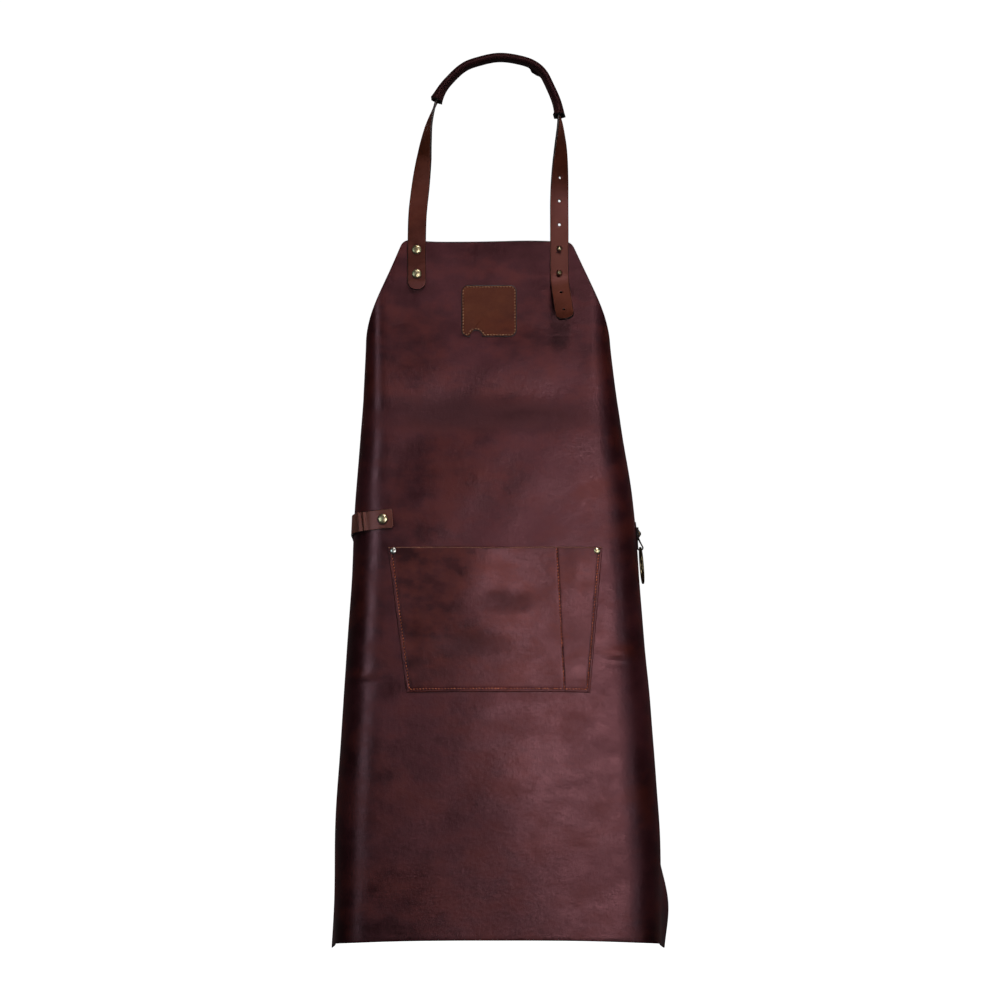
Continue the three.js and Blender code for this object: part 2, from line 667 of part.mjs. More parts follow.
// The ring, its tab and the tab's rivet, in the side panel's own directions
{
  const frame = tabFrame();
  const side = new THREE.Group();
  frame.decompose(side.position, side.quaternion, side.scale);
  apron.add(side);
  const out = new THREE.Vector3(0, 0, 1);
  const hole = drill(new THREE.Vector3(0, TAB.rivet, 0), out, TAB_RIVET.shank + GAP);
  const tab = add('ring_tab', cutFrom(strip(tabFrames(), TAB.thick), [hole]), STRAP_LEATHER);
  const top = TAB_FRONT + TAB.thick / 2 + GAP;
  const rivet = add('ring_rivet', rivetShape(TAB_RIVET, top + BODY_THICK + GAP), BRASS);
  rivet.position.set(0, TAB.rivet, top);
  rivet.rotation.x = Math.PI / 2;
  const wire = new THREE.TorusGeometry(RING.radius, RING.wire, RING.wireSides, RING.sides);
  const ring = add('ring', wire, BRASS);
  ring.position.set(0, TAB.fold - RING.radius, RING_AXIS);
  side.add(tab, rivet, ring);
  bodyHoles.push(drill(new THREE.Vector3(0, TAB.rivet, 0), out, TAB_RIVET.shank + GAP).applyMatrix4(frame));
}

add('apron_body', cutFrom(bodyShape(), bodyHoles), BODY_LEATHER);
add('pocket', cutFrom(pocketShape(), pocketHoles), BODY_LEATHER);
add('neck_strap', cutFrom(strip(neckFrames(), NECK_STRAP.thick), strapHoles), STRAP_LEATHER);
add('neck_pad', sleeveShape(), SLEEVE_LEATHER);
add('waist_strap', cutFrom(strip(waistFrames(), WAIST_STRAP.thick), waistHoles), STRAP_LEATHER);
const label = add('label_patch', labelShape(), STRAP_LEATHER);
label.rotation.x = Math.PI / 2;
label.position.y = FRONT_Y - GAP;

export default apron;
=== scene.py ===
import math

import bpy
import numpy as np
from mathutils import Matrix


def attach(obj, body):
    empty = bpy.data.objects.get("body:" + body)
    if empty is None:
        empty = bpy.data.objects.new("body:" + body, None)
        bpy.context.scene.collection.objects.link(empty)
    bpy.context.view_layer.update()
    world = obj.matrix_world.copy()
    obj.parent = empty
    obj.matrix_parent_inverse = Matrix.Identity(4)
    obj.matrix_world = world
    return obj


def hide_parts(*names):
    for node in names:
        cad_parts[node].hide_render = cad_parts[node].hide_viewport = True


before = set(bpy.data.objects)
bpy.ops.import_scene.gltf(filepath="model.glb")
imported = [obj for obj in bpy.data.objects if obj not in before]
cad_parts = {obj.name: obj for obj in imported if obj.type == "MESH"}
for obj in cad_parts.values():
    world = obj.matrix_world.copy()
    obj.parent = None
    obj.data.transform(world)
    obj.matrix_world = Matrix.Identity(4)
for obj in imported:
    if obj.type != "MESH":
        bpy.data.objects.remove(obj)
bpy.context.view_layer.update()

MM = 0.001


def table(columns, *rows):
    """Rows of values as dictionaries, by the names of their columns."""
    names = columns.split()
    return [dict(zip(names, row)) for row in rows]


# Driving dimensions
GAP = 0.3
BODY_THICK = 2.0
POCKET_THICK = 1.6
LABEL_THICK = 1.6
NECK_STRAP = {"width": 22.5, "thick": 2.8, "round": 10.0}
WAIST_STRAP = {"width": 24.0, "thick": 2.6, "round": 3.0}
BIB_TOP = -223.0
HEM = -1076.0
BIB_HALF = 102.7
BIB_CORNER = 6.0
CUT_HALF = 300.0
FRONT_Y = -30.0
REAR_DROOP = 24.0
HEM_LIFT = {"from": -900.0, "rise": 7.0}
# How finely the pieces are drawn, in rows, columns or points
STEPS = {
    "section": 80,
    "bib": 36,
    "armhole": 46,
    "skirt": 170,
    "body_across": 150,
    "pocket_up": 120,
    "pocket_across": 110,
    "pen_across": 44,
    "seam_up": 120,
    "seam_across": 160,
    "label_round": 240,
    "label_corner": 12,
    "label_notch": 17,
    "label_loops": 26,
    "strap_tip": 9,
    "strap": 330,
    "strap_route": 4000,
    "hole_route": 6000,
    "sleeve": 120,
    "sleeve_across": 31,
    "waist_back": 200,
    "tab": 130,
    "tab_fold": 14,
    "ring": 96,
    "wire": 20,
    "stitch": 7,
    "stitch_round": 6,
    "turned": 40,
    "hole": 24,
    "dome": 12,
    "ball": 18,
    "stage": 64,
    "stage_curve": 16,
}
# Lines along a cut edge, where it rounds off: distance from the edge, and fall of the face
EDGE_LINES = (0.0, 0.35, 1.1)
EDGE_DROP = (0.55, 0.15, 0.0)
# A strap's section from middle to edge: share of its half-width, and fall as a share of its thickness. The
# edges of its flesh side fall by a share of that.
STRIP_SECTION = table(
    "share fall",
    (0.3, 0.0),
    (0.6, 0.0),
    (0.88, 0.0),
    (0.95, 0.02),
    (0.985, 0.12),
    (1.0, 0.36),
)
FLESH_FALL = 0.6
# A strap's rounded end stops short of a point, by a share of its radius
BLUNT_END = 0.02

# The wrapped form by height: the CAD's, with a chest that stays flat a little further out
FORM = table(
    "z centre forward front bow bend turn",
    (-223, -9.5, 0, 122, 0, 46, 94),
    (-345, -8.6, 0, 122, 0, 47, 94),
    (-440, -4.6, 3, 121.5, 2, 65, 94),
    (-538, -1.2, 5, 128, 4, 75, 93),
    (-636, 0.8, 6, 131, 4, 80, 92),
    (-783, 2, 6, 136, 4, 90, 91),
    (-930, 2.8, 5, 143, 4, 95, 90),
    (-1080, 3, 3, 151, 4, 85, 90),
)
ARMHOLE = {"slant_end": -316.0, "slant_half": 147.8, "curve_half": 188.0, "end": -398.0}
# How the bib's rows close up towards its top: higher is closer
BIB_CLOSING = 1.7

# Soft folds: place on the flat cut, push outwards, and reach across and up
FOLDS = table(
    "s z push wide tall",
    (15, -366, 1.2, 110, 26),
    (-20, -418, -2.6, 120, 23),
    (-70, -428, -0.8, 60, 16),
    (152, -722, 1.2, 16, 7),
    (146, -733, -0.9, 18, 6),
    (-168, -748, 1.1, 17, 7),
    (-160, -758, -0.8, 18, 6),
    (-120, -505, -0.9, 34, 30),
    (118, -486, 0.9, 30, 46),
    (-20, -900, 0.9, 90, 60),
    (96, -960, -1.0, 46, 90),
)
# Long shallow waves of the leather: height, half their lengths across and up, and phase
WAVES = table(
    "push across up phase",
    (0.35, 96, 231, 0.4),
    (0.3, -143, 118, 2.1),
    (0.16, 57, -83, 4.0),
    (0.1, -34, 49, 1.2),
)
# The waves begin below the straps
WAVES_START = {"from": -300.0, "reach": 120.0}
# How far the rear edges curl out near the hem, by height
FLARE = table(
    "z left right",
    (-960, 0, 0),
    (-1020, 1, 11),
    (-1080, 5, 6),
)
FLARE_REACH = 60.0
# The bib's top edge is not quite straight: where it rises, how far, and over what reach
TOP_RISES = table(
    "s rise wide",
    (-98, 2.6, 24),
    (55, 1.5, 45),
)
TOP_RISE_REACH = 45.0

# The pocket's edges and divider as places across at its top and at its bottom, its heights, how far its two
# parts puff out and how fast towards the top, the reach of their seams, the dip of the top edge, and how far
# the back's edges fall as a share of the front's
POCKET = {
    "left": (-130.5, -108.0),
    "right": (131.0, 116.0),
    "divider": (75.0, 84.5),
    "top": -594.0,
    "bottom": -772.0,
    "puff": 4.8,
    "pen_puff": 0.6,
    "rise": 1.15,
    "seam": 11.0,
    "pen_seam": 5.0,
    "dip": 1.6,
    "back_fall": 0.5,
}
POCKET_HEIGHT = POCKET["top"] - POCKET["bottom"]
POCKET_DENTS = table(
    "x z push wide tall",
    (-30, -712, -1.4, 40, 15),
    (12, -660, -1.2, 36, 13),
    (46, -674, 0.9, 28, 20),
    (-92, -668, 0.6, 20, 34),
)
# Rows of stitches: distance from the edge, pitch, thread's radius, lean, and depth below the face
POCKET_STITCH = {"inset": 4.0, "pitch": 3.8, "thread": 0.62, "slant": 0.3, "sunk": 0.25}
LABEL_STITCH = {"inset": 2.2, "pitch": 3.7, "thread": 0.6, "slant": 0.2, "sunk": 0.3}
# A stitch: its reach as a share of the pitch, and its arch and thinner ends as shares of the thread's radius
STITCH = {"reach": 0.3, "rise": 0.75, "fall": 1.7, "taper": 0.35}
# How far the thread pulls the leather down along a seam, and over what reach
POCKET_GROOVE = {"depth": 0.5, "reach": 1.3}
LABEL_GROOVE = {"depth": 0.35, "reach": 1.2}

LABEL = {"left": -41.0, "right": 26.5, "top": -276.0, "bottom": -339.0, "corner": 8.0}
LABEL_NOTCH = {"x": -23.0, "radius": 7.5}
# The label's edge starts a little off the body, and its face is drawn in loops that shrink towards its middle
LABEL_LIFT = 0.1
LABEL_MIDDLE = np.array([-7.0, -305.0])
LABEL_SHRINK = 0.97

# The neck strap's route, as in the CAD: place, and the turn of its grain side from the front to the outside
NECK_ROUTE = table(
    "x y z twist",
    (-95.5, -35.5, -281.5, 0),
    (-95.5, -31.8, -271, 0),
    (-95.5, -31.7, -266, 0),
    (-95.5, -31.7, -228, 0),
    (-94.5, -30.5, -190, 0),
    (-91.4, -27, -160, 8),
    (-87, -19, -122, 40),
    (-84.6, -14, -101, 55),
    (-81, -8, -79, 74),
    (-76, -3.5, -62, 86),
    (-70, -1, -46, 96),
    (-60, 0, -28.5, 96),
    (-38, 0, -8.5, 96),
    (-20, 0, -0.8, 96),
    (2, 0, 3.3, 96),
    (28, 0, 1.3, 96),
    (45, 0, -4.5, 96),
    (58.5, 0, -15.5, 96),
    (69.5, -0.5, -36, 96),
    (77, -1.5, -58, 96),
    (79.5, -4, -74, 82),
    (80.4, -10, -103, 55),
    (79.2, -19.5, -143, 22),
    (78.5, -26, -173, 8),
    (78.5, -30.8, -208, 0),
    (78.5, -31.7, -226, 0),
    (78.5, -31.7, -258, 0),
    (78.6, -31.9, -264, 0),
    (79.3, -35.7, -274.5, 0),
    (80.8, -45, -285.6, 0),
    (84, -64.7, -307.4, 0),
    (86.5, -76.7, -318.5, 0),
)
NECK_RIVET_HEIGHTS = {"upper": -232.0, "lower": -261.5}
HOLES = {"count": 7, "pitch": 29.4, "from_tip": 16.0, "radius": 1.7, "stud_radius": 2.2}
STUD_HOLES = {"lower": 2, "upper": 3}
PUNCH_REACH = 9.0

# The sleeve: its ends in rows of the route, its sizes, and how far its ends stand open, over what reach
SLEEVE = {"from": 9.8, "to": 19.63, "width": 32.0, "thick": 8.0, "edge": 3.6, "bore": 3.5, "play": 1.0}
SLEEVE_FLARE = {"out": 3.2, "reach": 9.0, "wide": 0.4}
# How square the sleeve's section is, outside and inside: higher is squarer
SLEEVE_SQUARE = {"outer": 16, "inner": 8}
SLEEVE_PUCKER = {"height": 0.35, "rate": 0.55}
SLEEVE_WAVE = {"height": 0.3, "rate": 0.13, "phase": 1.0}
# A lip of the sleeve that hangs out on its inner side, at a row of the route
LIP = {"at": 16.5, "reach": 0.45, "drop": 5.0}

# The waist strap on the body: places across of its ends, its fasteners and where it leaves, height, and fall
WAIST = {
    "start": -124.0,
    "rivet": -136.0,
    "end": 226.0,
    "stud": 246.0,
    "leave": 299.0,
    "z": -559.2,
    "fall": 0.075,
}
WAIST_STEPS = {"left": 0.6, "right": 1.5}
# Places on the waist strap's way round the back
WAIST_BACK = [
    (-171, 150, -604),
    (-136, 190, -608),
    (-76, 214, -611),
    (0, 221, -612),
    (76, 214, -611),
    (136, 190, -608),
    (171, 150, -604),
]
# Creases of the waist strap where it turns the corner: place across, height and reach
WAIST_CREASES = table(
    "s push wide",
    (-159.0, 1.7, 1.9),
    (-162.6, -0.5, 1.5),
    (-166.5, 1.9, 2.2),
)

RING = {"radius": 21.6, "wire": 1.4}
TAB = {"s": 208.0, "z": -578.0, "thick": 1.3, "wide": 24.0, "narrow": 11.0, "top": 14.0, "fold": -11.5}
TAB_BORE = 2.5
TAB_RIVET_UP = 6.0
# Distances off the body of the tab's two layers, and of the middle of its fold
TAB_BACK = GAP + TAB["thick"] / 2
TAB_FRONT = TAB_BACK + TAB["thick"] + GAP
TAB_BEND = TAB_BORE + TAB["thick"] / 2
TAB_AXIS = TAB_BACK + TAB_BEND

# Rivets and studs: radii of the head or ball, the shank or neck and the back cap, and height of the head
NECK_RIVET = {"head": 5.8, "height": 2.6, "shank": 1.8, "cap": 4.6}
POCKET_RIVET = {"head": 3.8, "height": 1.8, "shank": 1.3, "cap": 3.4}
WAIST_RIVET = {"head": 6.2, "height": 2.8, "shank": 1.8, "cap": 4.6}
TAB_RIVET = {"head": 4.6, "height": 1.8, "shank": 1.5, "cap": 4.0}
STUD = {"ball": 3.3, "neck": 1.9, "cap": 5.0, "lift": 0.2}
# A back cap: its height, the share of its radius that is flat, and the height of its bevel
CAP = {"height": 1.0, "flat": 0.9, "bevel": 0.2}
TIP_RADIUS = 0.02
# A domed head's rim: its foot as a share of the radius, and heights as shares of the head's height
RIM = {"foot": 0.94, "low": 0.1, "high": 0.22, "top": 0.3}
POCKET_RIVET_IN = 6.5
POCKET_RIVET_DOWN = 4.5

# The leather's sheen: its colour, and how much duller the patches of painted shade are
WAX_TINT = (1.0, 0.41, 0.46, 1.0)
DULL_SHADE = 0.25
# The leather's grain: repeats in a metre, and height in metres
PORES = {"scale": 850.0, "height": 0.0005, "strength": 0.22}
WRINKLES = {"scale": 187.0, "height": 0.0008, "strength": 0.24}
PEBBLES = {"scale": 60.0, "height": 0.0012, "strength": 0.2}
# Patches on the front of each leather: place and reach
BODY_WARM_SPOTS = table(
    "at wide tall",
    ((148, -724), 26, 11),
    ((-160, -750), 26, 10),
    ((120, -520), 34, 26),
)
# The body's dark patches are painted shade in the chest's crease
BODY_PAINTED_SHADE_SPOTS = table(
    "at wide tall",
    ((-60, -432), 110, 30),
    ((40, -436), 110, 24),
)
# The pocket's dark patches are painted shade in its dents
POCKET_PAINTED_SHADE_SPOTS = table(
    "at wide tall",
    ((-36, -714), 60, 22),
    ((12, -662), 46, 18),
)
# The strap's light patch is a painted sheen, where the strap catches the light
STRAP_PAINTED_SHEEN_SPOTS = table(
    "at wide tall",
    ((78.5, -230), 40, 95),
)

# Camera: where the photo was taken from, and the width of its field at the apron
CAMERA = {"distance": 8000.0, "height": -538.3, "x": 6.1, "field": 1225.0}
FLOOR_HEIGHT = -1330.0
STAGE = {"radius": 10000.0, "curve": 2500.0, "height": 9000.0}
SKY = 0.035
# Lights, in metres: place, point they face, size across and up, power, beam in degrees and what they give
WHITE = (1.0, 1.0, 1.0)
COOL = (0.66, 0.92, 1.0)
MIDDLE = (0.0, 0.0, -0.65)
LIGHTS = table(
    "name place aim size power beam colour gives",
    ("key", (0.3, -1.5, 0.85), (0.03, 0.0, -0.62), (0.35, 0.35), 3.5, 80.0, WHITE, "both"),
    ("front", (0.48, -2.2, -0.85), (0.1, 0.0, -0.8), (0.6, 0.6), 15.0, 180.0, WHITE, "sheen"),
    ("right_strip", (1.5, -1.9, -0.95), MIDDLE, (0.12, 1.0), 5.0, 180.0, COOL, "sheen"),
    ("left_strip", (-1.5, -1.9, -0.6), MIDDLE, (0.12, 0.7), 11.0, 180.0, COOL, "sheen"),
    ("back_right", (1.7, 2.2, 0.3), MIDDLE, (1.2, 1.2), 45.0, 180.0, WHITE, "soft light"),
    ("back_left", (-1.7, 2.2, 0.3), MIDDLE, (1.2, 1.2), 45.0, 180.0, WHITE, "soft light"),
)


def smooth(x):
    x = np.clip(x, 0, 1)
    return x * x * (3 - 2 * x)


def hill(*shares):
    """A soft hill, 1 in its middle, at places as shares of its reach."""
    return np.exp(-sum(share**2 for share in shares))


def unit(v):
    return v / np.linalg.norm(v, axis=-1, keepdims=True)


def circle(count):
    """Angles of points evenly round a circle."""
    return np.arange(count) * 2 * math.pi / count


def lengths_of(points):
    return np.concatenate([[0], np.cumsum(np.linalg.norm(np.diff(points, axis=0), axis=1))])


def at_lengths(at, length, points):
    """Points at some lengths along a line, whose own points are at given lengths."""
    return np.stack([np.interp(at, length, part) for part in points.T], axis=-1)


# The wrapped body


def column(rows, name, z):
    """A table's column at heights z, on a smooth curve through its rows, which run downwards."""
    depth = -np.array([row["z"] for row in rows], float)
    value = np.array([row[name] for row in rows], float)
    before = np.maximum(np.arange(len(rows)) - 1, 0)
    after = np.minimum(np.arange(len(rows)) + 1, len(rows) - 1)
    slope = (value[after] - value[before]) / (depth[after] - depth[before])
    low = np.clip(np.searchsorted(depth, -z, side="right") - 1, 0, len(rows) - 2)
    span = depth[low + 1] - depth[low]
    t = np.clip((-z - depth[low]) / span, 0, 1)
    p, q = value[low], value[low + 1]
    a, b = slope[low] * span, slope[low + 1] * span
    return p + t * (a + t * (3 * (q - p) - 2 * a - b + t * (2 * (p - q) + a + b)))


def turn_at(form, s):
    bow = form["bow"] * np.minimum(s / form["front"], 1)
    return np.radians(bow + (form["turn"] - form["bow"]) * smooth((s - form["front"]) / form["bend"]))


def relief(s, z):
    """How far folds, waves and the curled rear edges push the leather outwards."""
    push = np.zeros_like(s)
    for fold in FOLDS:
        push += fold["push"] * hill((s - fold["s"]) / fold["wide"], (z - fold["z"]) / fold["tall"])
    for wave in WAVES:
        angle = math.pi * (s / wave["across"] + z / wave["up"]) + wave["phase"]
        push += wave["push"] * np.sin(angle) * smooth((WAVES_START["from"] - z) / WAVES_START["reach"])
    side = np.where(s < 0, column(FLARE, "left", z), column(FLARE, "right", z))
    return push + side * np.maximum(0, (np.abs(s) - CUT_HALF + FLARE_REACH) / FLARE_REACH) ** 2


def on_body(s, z, h=0.0):
    """Places on the flat cut, s across and z up, carried onto the wrapped body and out of its face by h."""
    s, z, h = np.broadcast_arrays(*(np.asarray(v, float) for v in (s, z, h)))
    form = {name: column(FORM, name, z) for name in FORM[0] if name != "z"}
    length = np.abs(s)
    x = np.zeros_like(length)
    y = np.zeros_like(length)
    for i in range(STEPS["section"]):
        turn = turn_at(form, (i + 0.5) / STEPS["section"] * length)
        x += np.cos(turn)
        y += np.sin(turn)
    turn = turn_at(form, length)
    out = h + relief(s, z)
    px = form["centre"] + np.sign(s) * (x * length / STEPS["section"] + np.sin(turn) * out)
    py = FRONT_Y - form["forward"] + y * length / STEPS["section"] - np.cos(turn) * out
    droop = REAR_DROOP - HEM_LIFT["rise"] * smooth((HEM_LIFT["from"] - z) / (HEM_LIFT["from"] - HEM))
    return np.stack([px, py, z - droop * (length / CUT_HALF) ** 3], axis=-1)


def body_directions(s, z):
    """The body's own directions at places on the flat cut: across, up and out."""
    across = unit(on_body(np.add(s, 1), z) - on_body(np.subtract(s, 1), z))
    up = unit(on_body(s, np.add(z, 1)) - on_body(s, np.subtract(z, 1)))
    out = unit(np.cross(across, up))
    return across, np.cross(out, across), out


def off_body(s, z, h):
    """Places off the body's face, straight out of it by h, and the directions out."""
    out = body_directions(s, z)[2]
    return on_body(s, z) + out * np.asarray(h)[..., None], out


def across_at(x, z):
    """Places across the flat cut that lie at x on the wrapped front."""
    return x - column(FORM, "centre", np.asarray(z, float))


def on_front(x, z, h):
    """Places on the wrapped front, and h off it."""
    return on_body(across_at(x, z), z, h)


def half_width(z):
    """Half the width of the flat cut at heights z."""
    a = ARMHOLE
    slant = BIB_HALF + (a["slant_half"] - BIB_HALF) * (BIB_TOP - z) / (BIB_TOP - a["slant_end"])
    u = 1 - np.sqrt(np.clip((z - a["end"]) / (a["slant_end"] - a["end"]), 0, 1))
    curve = a["slant_half"] * (1 - u) ** 2 + 2 * a["curve_half"] * u * (1 - u) + CUT_HALF * u**2
    to_corner = np.clip(BIB_CORNER - (BIB_TOP - z), 0, BIB_CORNER)
    cut_off = BIB_CORNER - np.sqrt(BIB_CORNER**2 - to_corner**2)
    return np.where(z >= a["slant_end"], slant, curve) - cut_off


# Meshes


def grid_faces(rows, columns, start=0, closed=False, flip=False):
    """Four-sided faces of a grid of points; closed joins its last column to its first."""
    j = np.arange(columns if closed else columns - 1)
    k = (j + 1) % columns
    row = np.arange(rows - 1)[:, None] * columns
    after = row + columns
    faces = np.stack([row + j, row + k, after + k, after + j], axis=-1).reshape(-1, 4) + start
    return faces[:, ::-1] if flip else faces


def loop_faces(rows, columns):
    """Four-sided faces of a grid of points that is closed both ways."""
    return grid_faces(rows + 1, columns, closed=True) % (rows * columns)


def add_piece(name, points, faces, materials, slots=None, body="apron", replaces=(), slot=None):
    """A smooth mesh from points in millimetres that rides on a body."""
    mesh = bpy.data.meshes.new(name)
    places = np.asarray(points).reshape(-1, 3) * MM
    mesh.from_pydata(places.tolist(), [], [list(map(int, face)) for face in faces])
    for material in materials:
        mesh.materials.append(material)
    if slots is not None:
        mesh.polygons.foreach_set("material_index", np.asarray(slots, np.int32))
    mesh.polygons.foreach_set("use_smooth", np.ones(len(mesh.polygons), bool))
    mesh.update()
    piece = bpy.data.objects.new(name, mesh)
    bpy.context.scene.collection.objects.link(piece)
    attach(piece, body)
    if replaces:
        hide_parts(*replaces)
    return piece


def sheet_geometry(front, back):
    """A closed sheet from grids of its faces: points, faces, and slots 0 in front, 1 behind, 2 at edges."""
    rows, columns = front.shape[:2]
    count = rows * columns
    faces = [grid_faces(rows, columns), grid_faces(rows, columns, count, flip=True)]
    index = np.arange(count).reshape(rows, columns)
    rim = np.concatenate([index[0, :-1], index[:-1, -1], index[-1, :0:-1], index[:0:-1, 0]])
    after = np.roll(rim, -1)
    edge = np.stack([after, rim, rim + count, after + count], axis=-1)
    # The last two rows in front, at the top, show the edge too
    top = 2 * (columns - 1)
    slots = [0] * (len(faces[0]) - top) + [2] * top + [1] * len(faces[1]) + [2] * len(edge)
    points = np.concatenate([front.reshape(-1, 3), back.reshape(-1, 3)])
    return points, np.concatenate([*faces, edge]), slots


def with_edge_lines(low, high, count):
    """Even steps between two limits, with close lines at both ends where the cut edge rounds off."""
    inner = np.linspace(low + EDGE_LINES[2], high - EDGE_LINES[2], count)
    return np.concatenate([low + np.array(EDGE_LINES[:2]), inner, high - np.array(EDGE_LINES[1::-1])])


def edge_drop(shape):
    """How far the face falls at each place of a sheet's grid, so that its cut edges are rounded."""
    falls = []
    for count in shape:
        fall = np.zeros(count)
        fall[:2] = EDGE_DROP[:2]
        fall[-2:] = EDGE_DROP[1::-1]
        falls.append(fall)
    return np.maximum.outer(*falls)


def tube_geometry(rings):
    """A closed tube from rings of points, with flat ends."""
    rows, columns = rings.shape[:2]
    sides = grid_faces(rows, columns, closed=True)
    caps = [list(range(columns))[::-1], [(rows - 1) * columns + i for i in range(columns)]]
    return rings.reshape(-1, 3), [list(f) for f in sides] + caps


def spline(points, rows):
    """Places and directions on a smooth curve through points, at places counted in rows."""
    p = np.asarray(points, float)
    p = np.concatenate([[2 * p[0] - p[1]], p, [2 * p[-1] - p[-2]]])
    step = np.linalg.norm(np.diff(p, axis=0), axis=1) ** 0.5
    low = np.clip(np.floor(rows).astype(int), 0, len(points) - 2)
    t = (rows - low)[:, None]
    d0, d1, d2 = (step[low + i][:, None] for i in range(3))
    p0, p1, p2, p3 = (p[low + i] for i in range(4))
    a = ((p1 - p0) / d0 - (p2 - p0) / (d0 + d1) + (p2 - p1) / d1) * d1
    b = ((p2 - p1) / d1 - (p3 - p1) / (d1 + d2) + (p3 - p2) / d2) * d1
    c2 = 3 * (p2 - p1) - 2 * a - b
    c3 = 2 * (p1 - p2) + a + b
    return p1 + t * (a + t * (c2 + t * c3)), unit(a + t * (2 * c2 + t * 3 * c3))


def rounded_half(strap, distance):
    """Half a strap's width at distances from its end, with the end rounded off."""
    back = strap["round"] - np.clip(distance, BLUNT_END * strap["round"], strap["round"])
    return strap["width"] / 2 - strap["round"] + np.sqrt(strap["round"] ** 2 - back**2)


def rings_round(at, side, normal, wide, lift):
    """Rings of points round places, at distances to the side of them and along their normals."""
    return at[:, None] + side[:, None] * wide[..., None] + normal[:, None] * lift[..., None]


def add_strip(name, at, normal, half, thick, look, node):
    """A strap along a line of places, with rounded edges on its grain side, that stands for a CAD node."""
    along = unit(np.gradient(at, axis=0))
    wide = unit(np.cross(along, normal))
    edge = np.array([row["share"] for row in STRIP_SECTION])
    fall = np.array([row["fall"] for row in STRIP_SECTION])
    share = np.concatenate([-edge[::-1], [0.0], edge])
    lift = -thick * np.concatenate([fall[::-1], [0.0], fall])
    top = np.stack([share, thick / 2 + lift], axis=-1)
    low = np.stack([share[::-1], -thick / 2 - FLESH_FALL * np.minimum(lift[::-1], 0)], axis=-1)
    section = np.concatenate([top, low])
    rings = rings_round(at, wide, normal, half[:, None] * section[:, 0], section[None, :, 1])
    points, faces = tube_geometry(rings)
    columns = len(section)
    grain = len(share)
    # The grain side is slot 0, the flesh side 1, and the cut edges with the lines next to them 2
    kind = [0 if 1 < j < grain - 3 else 1 if grain < j < columns - 2 else 2 for j in range(columns)]
    slots = kind * (len(at) - 1) + [2, 2]
    return add_piece(name, points, faces, look, slots, replaces=[node], slot="strap_leather")


def stitch_row(line, normals, stitch):
    """Stitches along a line on leather: short arched tubes whose ends go down into it."""
    length = lengths_of(line)
    count = max(1, int(round(length[-1] / stitch["pitch"])))
    pitch = length[-1] / count
    radius = stitch["thread"]
    rings, sides = STEPS["stitch"], STEPS["stitch_round"]
    t = np.linspace(-1, 1, rings)
    at = (np.arange(count)[:, None] + 0.5) * pitch + t * STITCH["reach"] * pitch
    place = at_lengths(at, length, line)
    out = unit(at_lengths(at, length, normals))
    along = unit(place[:, -1:] - place[:, :1])
    side = np.cross(along, out)
    arch = radius * (STITCH["rise"] - STITCH["fall"] * t**4)
    place = place + out * arch[None, :, None] + side * (stitch["slant"] * t)[None, :, None]
    angle = circle(sides)
    fat = radius * (1 - STITCH["taper"] * t**4)
    around = np.cos(angle)[:, None] * side[:, :, None] + np.sin(angle)[:, None] * out[:, :, None]
    points = place[:, :, None] + around * fat[None, :, None, None]
    tube = grid_faces(rings, sides, closed=True, flip=True)
    end = np.array([[0, 1, 2, 3], [0, 3, 4, 5]])
    far_end = (rings - 1) * sides + end[:, ::-1]
    one = np.concatenate([tube, end, far_end])
    return points.reshape(-1, 3), np.concatenate([one + i * rings * sides for i in range(count)])


def join_rows(rows):
    """Several rows of points and faces as one."""
    points, faces, start = [], [], 0
    for row_points, row_faces in rows:
        points.append(row_points)
        faces.append(row_faces + start)
        start += len(row_points)
    return np.concatenate(points), np.concatenate(faces)


def turned(name, profile, at, along, material, replaces=(), slot="brass", sides=STEPS["turned"]):
    """A piece turned on an axis from a profile of radius and height."""
    along = unit(np.asarray(along, float))
    side = unit(np.cross(along, [0.0, 0.0, 1.0]))
    third = np.cross(along, side)
    angle = circle(sides)
    around = np.cos(angle)[:, None] * side + np.sin(angle)[:, None] * third
    profile = np.asarray(profile, float)
    rings = at + profile[:, 0][:, None, None] * around + (profile[:, 1][:, None] * along)[:, None]
    points, faces = tube_geometry(rings)
    return add_piece(name, points, faces, [material], replaces=replaces, slot=slot)


# Materials


def new_material(name, **values):
    """A material, its node tree, and its one shader with plain values on its sockets."""
    material = bpy.data.materials.new(name)
    material.use_nodes = True
    tree = material.node_tree
    shader = tree.nodes["Principled BSDF"]
    for key, value in values.items():
        shader.inputs[key.replace("_", " ")].default_value = value
    return material, tree, shader


def add_node(tree, kind, links=(), **values):
    node = tree.nodes.new(kind)
    for key, value in values.items():
        if key in node.inputs.keys():
            node.inputs[key].default_value = value
        else:
            setattr(node, key, value)
    for socket, source in dict(links).items():
        tree.links.new(source, node.inputs[socket])
    return node


def place_of(tree):
    return add_node(tree, "ShaderNodeTexCoord").outputs["Object"]


def noise(tree, place, scale, detail=4.0, rough=0.55):
    links = {"Vector": place}
    node = add_node(tree, "ShaderNodeTexNoise", links, Scale=scale, Detail=detail, Roughness=rough)
    return node.outputs["Fac"]


def maths(tree, operation, *values):
    """A sum on values, each a number or the output of another node."""
    node = add_node(tree, "ShaderNodeMath", operation=operation)
    for socket, value in zip(node.inputs, values):
        if isinstance(value, float):
            socket.default_value = value
        else:
            tree.links.new(value, socket)
    return node.outputs[0]


def blend(tree, a, b, share):
    """A mix of two values by a fixed share of the second."""
    return maths(tree, "MULTIPLY_ADD", a, 1 - share, maths(tree, "MULTIPLY", b, share))


def ramp(tree, value, stops):
    """A colour for a value, by stops of place and colour."""
    node = add_node(tree, "ShaderNodeValToRGB", {"Fac": value})
    elements = node.color_ramp.elements
    while len(elements) < len(stops):
        elements.new(0.5)
    for element, (place, colour) in zip(elements, stops):
        element.position = place
        element.color = (*colour, 1.0)
    return node.outputs["Color"]


